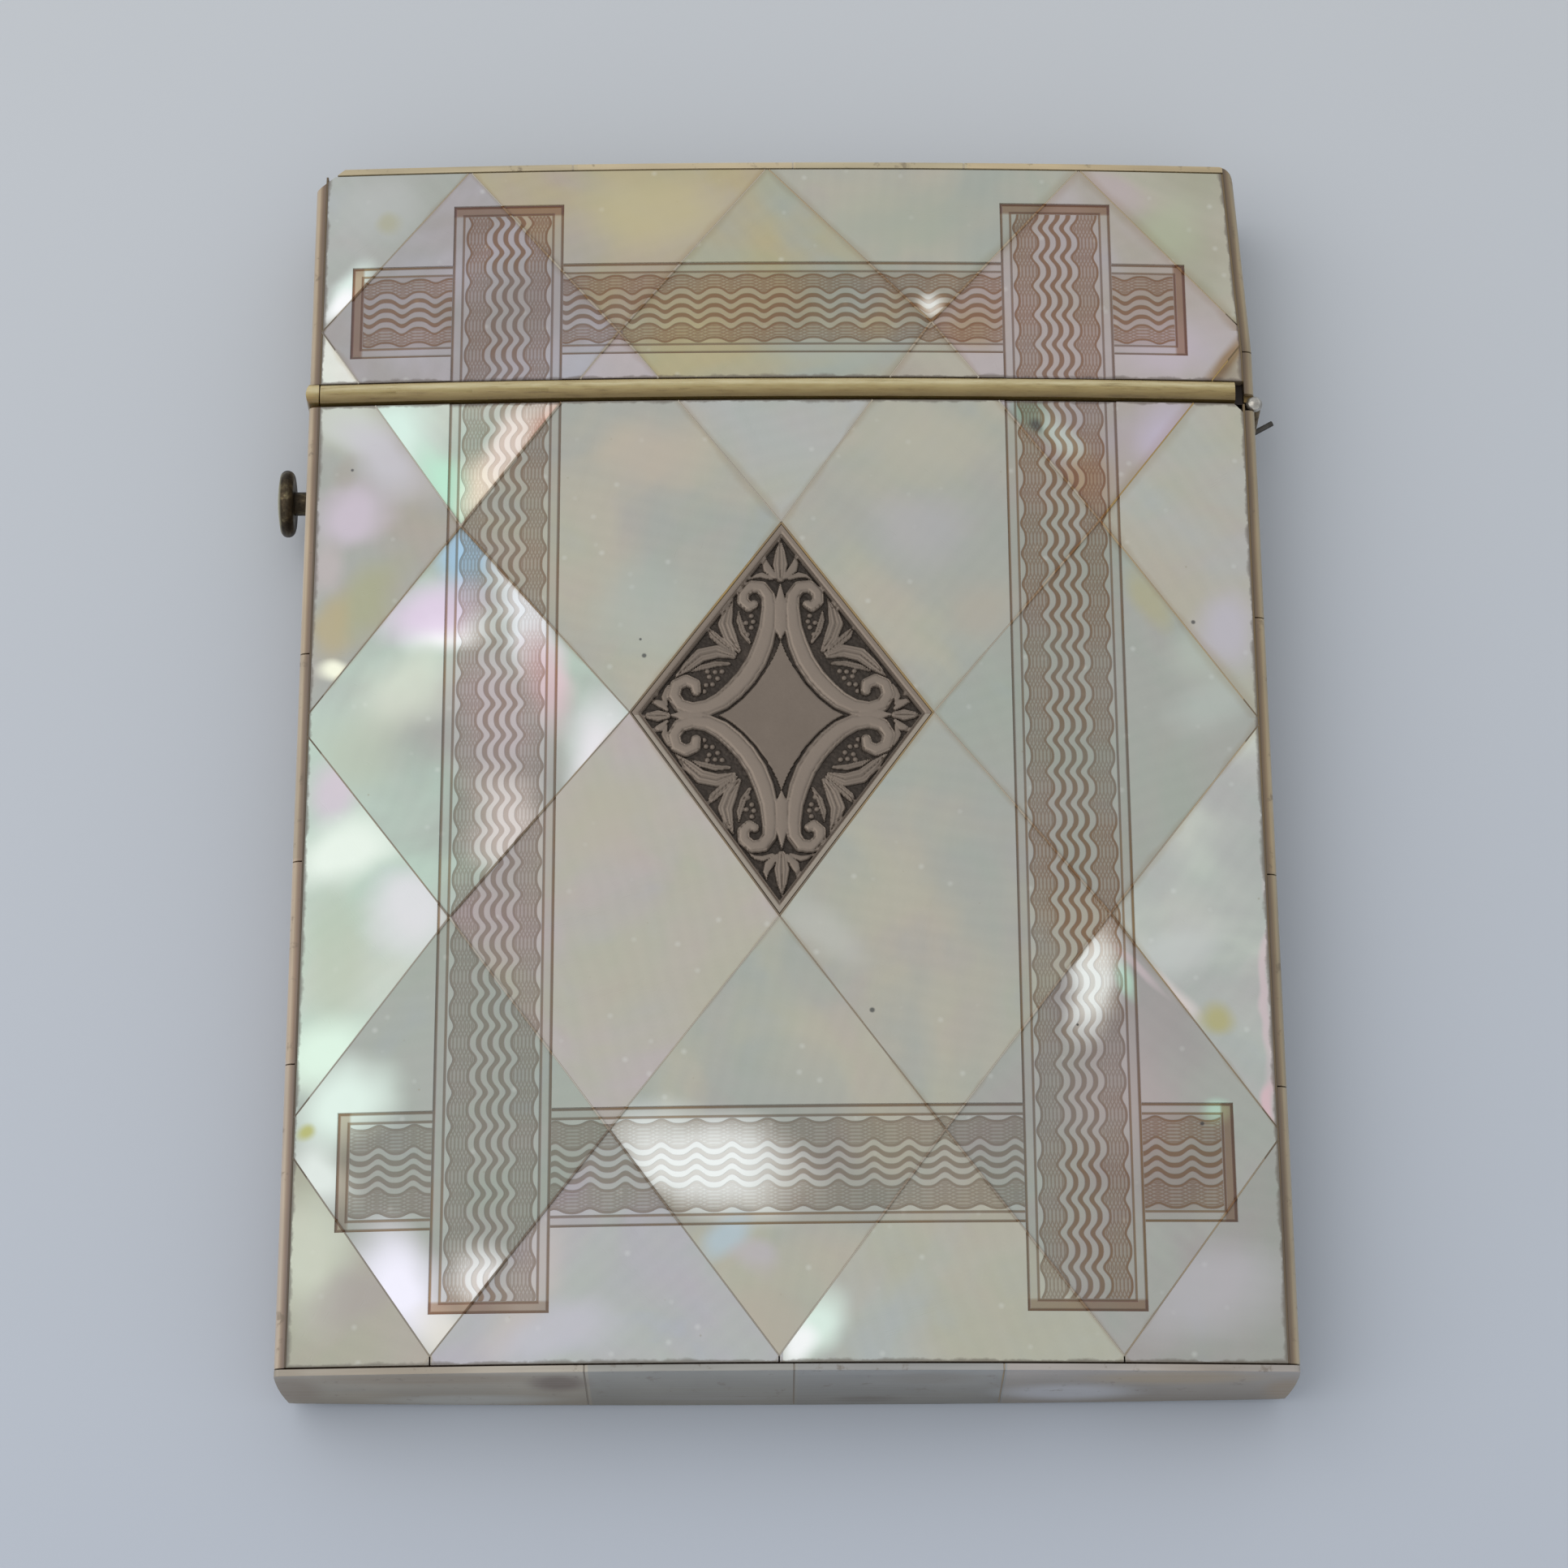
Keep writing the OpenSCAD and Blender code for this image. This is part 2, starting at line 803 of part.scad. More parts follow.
module leaf_neck(y0, y1, z0) {
  translate([inner_x, y0, z0]) cube([hinge_x - inner_x, y1 - y0, knuckle_l]);
}

front_knuckle_z = barrel_top - knuckle_l;
middle_knuckle_z = front_knuckle_z - knuckle_gap - knuckle_l;
back_knuckle_z = barrel_foot;

module pin_bore(r) {
  translate([hinge_x, hinge_y, -reach]) cylinder(h = 2 * reach, r = r);
}

module body_hinge_leaf() {
  color("darkgray") difference() {
    union() {
      leaf_plate(body_leaf_y, hinge_y - barrel_r - barrel_play + eps);
      leaf_neck(hinge_y - barrel_r - barrel_play, body_h - eps, middle_knuckle_z);
      knuckle(middle_knuckle_z);
    }
    pin_bore(pin_r + pin_play);
    leaf_nail_bores(body_leaf_y);
  }
}

module lid_hinge_leaf() {
  color("darkgray") difference() {
    union() {
      leaf_plate(hinge_y + barrel_r + barrel_play - eps, lid_leaf_y + leaf_l);
      for (z0 = [front_knuckle_z, back_knuckle_z]) {
        leaf_neck(lid_y + eps, hinge_y + barrel_r + barrel_play, z0);
        knuckle(z0);
      }
    }
    pin_bore(pin_r + nail_fit);
    leaf_nail_bores(lid_leaf_y);
  }
}

module body_hinge_nails() {
  color("gray") leaf_nails(body_leaf_y);
}

module lid_hinge_nails() {
  color("gray") leaf_nails(lid_leaf_y);
}

// The pin has a domed head in front, and its back end has been bent out past the side
module hinge_pin() {
  head_r = (pow(pin_head_r, 2) + pow(pin_head_h, 2)) / (2 * pin_head_h);
  color("silver") {
    translate([hinge_x, hinge_y, pin_foot]) cylinder(h = barrel_top - pin_foot, r = pin_r);
    intersection() {
      translate([hinge_x, hinge_y, barrel_top + pin_head_h - head_r]) sphere(head_r);
      translate([hinge_x, hinge_y, barrel_top]) cylinder(h = 2 * pin_head_h, r = pin_head_r);
    }
    translate([hinge_x, hinge_y, pin_foot]) rotate([0, 0, tail_turn]) {
      translate([tail_bend_r, 0, 0]) rotate([90, 0, 0]) rotate([0, 0, 180])
        rotate_extrude(angle = 90) translate([tail_bend_r, 0]) circle(pin_r);
      translate([tail_bend_r, 0, -tail_bend_r]) rotate([0, 90, 0]) cylinder(h = tail_l, r = pin_r);
    }
  }
}

module catch_spring() {
  color("goldenrod") difference() {
    translate([spring_x, spring_foot, -spring_w / 2])
      cube([spring_t, spring_top - spring_foot, spring_w]);
    rivet_bores(rivet_r + rivet_lift);
    translate([spring_x - past, button_y, 0]) rotate([0, 90, 0])
      cylinder(h = spring_t + 2 * past, r = tenon_r + nail_fit);
  }
}

// The button's head is a thick disc, round at the edge and a little domed; its neck ends in a tenon
// riveted through the spring
module catch_button() {
  neck_x = -half_w - button_gap;
  crown = button_crown * button_t;
  crown_r = (pow(button_d / 2, 2) + pow(crown, 2)) / (2 * crown);
  round_r = button_round * button_t;
  color("dimgray") translate([neck_x, button_y, 0]) rotate([0, 90, 0]) {
    rotate_extrude() intersection() {
      union() {
        translate([0, -button_t]) square([button_d / 2 - round_r, button_t]);
        intersection() {
          translate([button_d / 2 - round_r, -round_r]) circle(round_r);
          translate([0, -button_t]) square([button_d / 2, button_t]);
        }
      }
      translate([0, crown_r - button_t]) circle(crown_r, $fn = fine);
    }
    translate([0, 0, -round_r]) cylinder(h = round_r + spring_x - neck_x, r = neck_r);
    cylinder(h = spring_x + spring_t + tenon_proud - neck_x, r = tenon_r);
  }
}

// The nib is flat below, where it holds the lid down, and sloped above, where the lid rides over it
module catch_nib() {
  color("goldenrod") translate([spring_x, nib_y, -nib_w / 2]) linear_extrude(nib_w)
    polygon([[0, 0], [-nib_reach, 0], [-nib_reach, nib_lip], [0, nib_h]]);
}

module spring_rivets() {
  head_x = spring_x + spring_t + rivet_lift;
  color("darkgoldenrod") for (step = rivet_steps)
    translate([0, spring_foot + step, 0]) rotate([0, 90, 0]) {
      translate([0, 0, -board_x]) cylinder(h = head_x + board_x + eps, r = rivet_r);
      translate([0, 0, head_x]) cylinder(h = rivet_head_h, r = rivet_head_r);
    }
}

module catch_keeper() {
  color("goldenrod") difference() {
    translate([keeper_x - keeper_t, keeper_foot, -keeper_w / 2])
      cube([keeper_t, keeper_top - keeper_foot, keeper_w]);
    keeper_window(keeper_t + past);
    keeper_nail_spots() translate([0, 0, -past]) cylinder(h = keeper_t + 2 * past, r = nail_r + nail_fit);
  }
}

module keeper_nails() {
  color("darkgoldenrod") keeper_nail_spots() cylinder(h = 2 * keeper_t, r = nail_r);
}

body_front_board();
body_back_board();
body_left_board();
body_right_board();
foot_board();
sleeve_front();
sleeve_back();
sleeve_left();
sleeve_right();
sleeve_floor();
sleeve_packing();
for (k = [0 : 5]) {
  body_front_row(k);
  body_back_row(k);
}
foot_strips();
body_left_strips();
body_right_strips();
plaque();
body_hinge_leaf();
body_hinge_nails();
spring_rivets();
catch_spring();
catch_button();
catch_nib();
lid_front_board();
lid_back_board();
lid_left_board();
lid_right_board();
top_board();
for (k = [4 : 6]) {
  lid_front_row(k);
  lid_back_row(k);
}
top_strips();
lid_left_strip();
lid_right_strip();
lid_front_rim();
lid_back_rim();
lid_left_rim();
lid_hinge_leaf();
lid_hinge_nails();
hinge_pin();
catch_keeper();
keeper_nails();
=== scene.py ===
import math

import bpy
import numpy as np
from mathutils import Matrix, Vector


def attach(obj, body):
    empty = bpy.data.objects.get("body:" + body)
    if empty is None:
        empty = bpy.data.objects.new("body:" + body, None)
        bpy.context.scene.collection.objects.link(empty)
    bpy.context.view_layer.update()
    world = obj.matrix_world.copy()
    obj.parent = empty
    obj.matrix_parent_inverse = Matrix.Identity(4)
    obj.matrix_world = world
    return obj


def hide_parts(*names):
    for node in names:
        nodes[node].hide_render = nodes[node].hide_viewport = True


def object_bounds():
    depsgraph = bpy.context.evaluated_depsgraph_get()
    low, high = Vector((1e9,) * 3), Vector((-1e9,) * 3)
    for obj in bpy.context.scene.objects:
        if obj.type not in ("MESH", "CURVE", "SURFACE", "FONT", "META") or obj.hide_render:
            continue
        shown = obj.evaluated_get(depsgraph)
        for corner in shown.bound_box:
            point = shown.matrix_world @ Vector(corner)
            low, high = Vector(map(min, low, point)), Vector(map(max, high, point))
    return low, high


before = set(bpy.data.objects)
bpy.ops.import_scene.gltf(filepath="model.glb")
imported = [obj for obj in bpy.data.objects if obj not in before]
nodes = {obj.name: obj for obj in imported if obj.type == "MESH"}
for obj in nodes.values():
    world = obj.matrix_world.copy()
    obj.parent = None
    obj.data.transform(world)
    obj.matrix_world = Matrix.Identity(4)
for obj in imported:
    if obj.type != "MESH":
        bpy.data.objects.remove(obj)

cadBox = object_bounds()
mm = 0.001  # for the tables that give sizes in mm

# The camera, the floor and the light

view = {
    "place": (-0.001574, -0.090369, 0.340851),
    "turn": (22.1946, -0.1440, -0.3042),  # degrees, nearly straight down, from the foot end
    "lens": 107.54, "sensor": 36, "nearest": 0.01,
}
room = {
    "floorSize": 3.0, "floorGap": 0.00001,
    "floorColour": "#c3c7cc", "floorCloud": "#bfc4ca", "floorFrontShade": "#b4bcc9",
    "frontY": -40.0, "backY": 130.0,  # mm, painted light fall-off: the floor is painted darker and bluer in front
    "worldColour": "#f4f6f8", "worldStrength": 0.80,
    "keyPlace": (-0.40, 0.08, 0.52), "keyAim": (0, 0.05, 0),
    "keySize": 0.8, "keyPower": 1.63, "keyColour": "#fffaf4",
}
# Settings that many nodes share
rgba = {"data_type": "RGBA"}
multiplied = {"data_type": "RGBA", "blend_type": "MULTIPLY"}
seeded = {"noise_dimensions": "4D"}


# sRGB hex to the linear colour that sockets take, and any other value as it is
def hexColour(value, alpha=1.0):
    if not isinstance(value, str):
        return value
    parts = [int(value[i:i + 2], 16) / 255 for i in (1, 3, 5)]
    return [c / 12.92 if c <= 0.04045 else ((c + 0.055) / 1.055) ** 2.4 for c in parts] + [alpha]


def addNode(tree, kind, inputs=(), stops=(), shape="LINEAR", **settings):
    prefix = "GeometryNode" if tree.bl_idname == "GeometryNodeTree" else "ShaderNode"
    node = tree.nodes.new(kind if "Node" in kind else prefix + kind)
    for name, value in settings.items():
        setattr(node, name, value)
    for key, value in inputs.items() if isinstance(inputs, dict) else enumerate(inputs):
        if hasattr(value, "outputs"):
            value = next(s for s in value.outputs if s.enabled)
        if isinstance(value, bpy.types.NodeSocket):
            tree.links.new(value, node.inputs[key])
        elif value is not None:
            node.inputs[key].default_value = hexColour(value)
    if stops:  # (place, colour) pairs of a ramp
        ramp = node.color_ramp
        ramp.interpolation = shape
        while len(ramp.elements) > 1:
            ramp.elements.remove(ramp.elements[0])
        ramp.elements[0].position, ramp.elements[0].color = stops[0][0], hexColour(stops[0][1])
        for place, colour in stops[1:]:
            ramp.elements.new(place).color = hexColour(colour)
    return node


operations = {
    "+": "ADD", "-": "SUBTRACT", "*": "MULTIPLY", "/": "DIVIDE", "*+": "MULTIPLY_ADD", ">": "GREATER_THAN",
    "<": "LESS_THAN", "abs": "ABSOLUTE", "min": "MINIMUM", "max": "MAXIMUM", "same": "COMPARE",
}


# A table of named sums: the name, the operation, and its values or the names of earlier ones.
# "linear" and "smoothstep" map a range to another: from low, from high, to low, to high.
# "mix" takes the share first, then the value at 0 and the value at 1.
def addSums(tree, known, lines):
    for name, operation, *values in lines:
        values = [known.get(v, v) for v in values]
        if operation in ("linear", "smoothstep"):
            known[name] = addNode(tree, "MapRange", values, interpolation_type=operation.upper())
        elif operation == "mix":
            known[name] = addNode(tree, "Mix", dict(zip((0, 2, 3), values)))
        else:
            operation = operations.get(operation, operation.upper())
            known[name] = addNode(tree, "Math", values, operation=operation)
    return known


def placeInMm(tree):  # the place on the piece in mm, and its three axes by name
    place = addNode(tree, "VectorMath", {0: addNode(tree, "TexCoord").outputs["Object"], "Scale": 1000.0},
                    operation="SCALE")
    axes = addNode(tree, "SeparateXYZ", [place]).outputs
    return place, {"x": axes["X"], "y": axes["Y"], "z": axes["Z"]}


def softSpot(tree, place, centre, radii, turn=0.0):  # 1 at its centre and 0 from its radii outwards
    spot = addNode(tree, "Mapping", {"Vector": place, "Location": centre, "Scale": radii,
                                     "Rotation": (0, 0, math.radians(turn))}, vector_type="TEXTURE")
    return addNode(tree, "TexGradient", [spot], gradient_type="SPHERICAL").outputs["Fac"]


def newMaterial(name):
    material = bpy.data.materials.new(name)
    material.use_nodes = True
    material.node_tree.nodes.clear()
    return material, material.node_tree, *placeInMm(material.node_tree)


def finishMaterial(tree, inputs):
    addNode(tree, "OutputMaterial", [addNode(tree, "BsdfPrincipled", inputs)])


def newGroup(name, inputs, outputs):  # a shader group, with its sockets as (name, kind) pairs
    tree = bpy.data.node_groups.new(name, "ShaderNodeTree")
    for way, sockets in (("INPUT", inputs), ("OUTPUT", outputs)):
        for label, kind in sockets:
            tree.interface.new_socket(label, in_out=way, socket_type="NodeSocket" + kind)
    return tree, tree.nodes.new("NodeGroupInput").outputs, *placeInMm(tree)


def newObject(name, mesh):
    made = bpy.data.objects.new(name, mesh)
    scene.collection.objects.link(made)
    return made


def newPiece(name, points, faces, material, body, smooth=True):
    mesh = bpy.data.meshes.new(name)
    mesh.from_pydata(points, [], faces)
    mesh.update()
    mesh.materials.append(material)
    mesh.polygons.foreach_set("use_smooth", [smooth] * len(mesh.polygons))
    piece = newObject(name, mesh)
    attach(piece, body)
    return piece


def addAttribute(mesh, name, values):
    mesh.attributes.new(name, "FLOAT", "POINT").data.foreach_set("value", values)


scene = bpy.context.scene
scene.view_settings.view_transform = "Standard"

camera = newObject("camera", bpy.data.cameras.new("camera"))
camera.location = view["place"]
camera.rotation_euler = [math.radians(a) for a in view["turn"]]
camera.data.lens = view["lens"]
camera.data.sensor_width = view["sensor"]
camera.data.clip_start = view["nearest"]
scene.camera = camera

world = bpy.data.worlds.new("studio")
world.use_nodes = True
sky = world.node_tree.nodes["Background"].inputs
sky["Color"].default_value = hexColour(room["worldColour"])
sky["Strength"].default_value = room["worldStrength"]
scene.world = world

key = newObject("windowLight", bpy.data.lights.new("windowLight", "AREA"))
key.data.shape = "DISK"
key.data.size = room["keySize"]
key.data.energy = room["keyPower"]
key.data.color = hexColour(room["keyColour"])[:3]
key.location = room["keyPlace"]
key.rotation_euler = (Vector(room["keyAim"]) - key.location).to_track_quat("-Z", "Y").to_euler()

# Matt painted board, a cool grey with a faint tooth, with a painted fall-off of the light that darkens it
# towards the front
material, tree, place, axes = newMaterial("matt_painted_board")
cloud = addNode(tree, "TexNoise", {"Vector": place, "Scale": 0.006, "Detail": 2.0})
paint = addNode(tree, "ValToRGB", [cloud], stops=[(0.3, room["floorCloud"]), (0.7, room["floorColour"])])
# painted light fall-off: darker and bluer towards the front
addSums(tree, axes, [("nearer", "linear", "y", room["frontY"], room["backY"], 1.0, 0.0)])
paint = addNode(tree, "Mix", {0: axes["nearer"], 6: paint, 7: room["floorFrontShade"]}, **rgba)
finishMaterial(tree, {"Base Color": paint, "Roughness": 0.75})
half, floorZ = room["floorSize"] / 2, cadBox[0][2] - room["floorGap"]
floorMesh = bpy.data.meshes.new("floor")
floorCorners = [(x * half, y * half, floorZ) for x, y in ((-1, -1), (1, -1), (1, 1), (-1, 1))]
floorMesh.from_pydata(floorCorners, [], [(0, 1, 2, 3)])
floorMesh.materials.append(material)
floor = newObject("floor", floorMesh)
print("camera, floor and light ready")

# The mother-of-pearl veneer

case = {
    "faceRadius": 657.38,  # mm, the cushioned faces are cylinders along Y
    "faceCentre": -652.38,
    "innerX": 37.2, "pearlX": 37.05,
    "footY": 0.65, "mouthY": 79.9, "lidY": 81.97, "topY": 100.95,
    "leanY": 84.55, "lean": 0.0557,  # above leanY the lid's right side leans in
    "seamRun": 18,  # a seam joins crossings of two rows that are less than this apart across
}
# Where the lattice's lines cross, in rows from the foot up
crossings = [
    [(-26.41, 1.32), (-0.6, 1.12), (24.91, 1.12)],
    [(-38.22, 18.52), (-13.31, 18.72), (12.01, 18.62), (37.42, 18.42)],
    [(-25.71, 35.96), (-0.4, 35.76), (25.01, 36.06)],
    [(-37.82, 52.19), (-12.01, 52.79), (11.71, 52.69), (37.32, 52.19)],
    [(-25.51, 69.09), (-0.1, 69.09), (25.21, 69.39)],
    [(-37.12, 86.69), (-13.11, 86.19), (12.11, 86.99), (37.72, 86.09)],
    [(-25.41, 101.11), (-1.1, 101.11), (24.41, 101.11)],
]
# How dark and dirty the glue is in each seam between two rows of crossings, from left to right
seamAges = [
    [0.7, 0.7, 0.6, 0.3, 0.4, 0.8], [0.5, 0.1, 0.3, 0.8, 0.2, 0.9], [0.7, 0.8, 1.0, 1.0, 0.4, 0.6],
    [0.8, 0.6, 1.0, 1.0, 0.4, 0.7], [0.1, 0.4, 0.3, 0.3, 0.2, 1.0], [0.6, 0.2, 0.3, 0.6, 0.4, 0.6],
]
strap = {
    "wide": 9.0, "out": 22.25, "shift": 0.10, "foot": 4.5, "top": 97.9, "halfway": 50.0,
    "low": 15.9, "lowWide": 9.4, "lean": 0.00785, "reach": 33.8,
    "high": 88.3, "highWide": 8.3, "highShift": 1.0,
    "wave": 2.66, "swing": 0.29, "peak": 0.05, "pitch": 0.87, "hatch": 0.29, "scallop": -0.62,
    "rules": 0.97, "field": 1.24, "ribbon": 1.72,  # rules and hatching reach so far in, half the ribbon
    "uprightFrom": 50.75, "uprightStep": 0.30, "crossFrom": 1.27,  # where the waves start
    "cutColour": "#bcab9c", "cutRust": "#b58c62", "lineColour": "#a68f79", "rustColour": "#b08850",
    "endColour": "#c8ad90", "endRust": "#bf8b4e",
    # where the engraving is stained most: x, y, radius
    "warm": [(31, 11, 15), (20.5, 70, 9), (-33, 89, 8), (34, 88, 6), (22, 98, 7), (25, 38, 7), (-24, 4, 6),
             (-22, 98, 7)],
}
pearl = {
    "grey": "#a7a9a2", "green": "#a4a99f", "silver": "#b2b4b1", "lilac": "#b3afb8", "cream": "#b5b1a1",
    "mint": "#bccfc2", "bright": "#ced5ca", "gold": "#b3a982", "rose": "#b8aeae", "dull": "#9d9e97",
    "white": "#e6eae2", "sand": "#ada498", "dusk": "#a29d9b", "khaki": "#a5a48e",
}
# Each lozenge from the left in its row: its tone and the tone of its clouds
tones = {
    "body0": [("khaki", "sand"), ("lilac", "silver"), ("cream", "silver"), ("dull", "dusk")],
    "body1": [("green", "grey"), ("grey", "cream"), ("grey", "dusk")],
    "body2": [("bright", "mint"), ("cream", "rose"), ("grey", "cream"), ("silver", "bright")],
    "body3": [("mint", "grey"), ("grey", "grey"), ("grey", "green")],
    "body4": [("sand", "grey"), ("cream", "grey"), ("grey", "cream"), ("silver", "cream")],
    "body5": [("mint", "bright"), ("silver", "cream"), ("lilac", "sand")],
    "lid4": [("white", "white"), ("lilac", "rose"), ("sand", "cream"), ("sand", "gold")],
    "lid5": [("dusk", "lilac"), ("gold", "green"), ("rose", "sand")],
    "lid6": [("grey", "silver"), ("gold", "sand"), ("cream", "green"), ("khaki", "cream")],
}
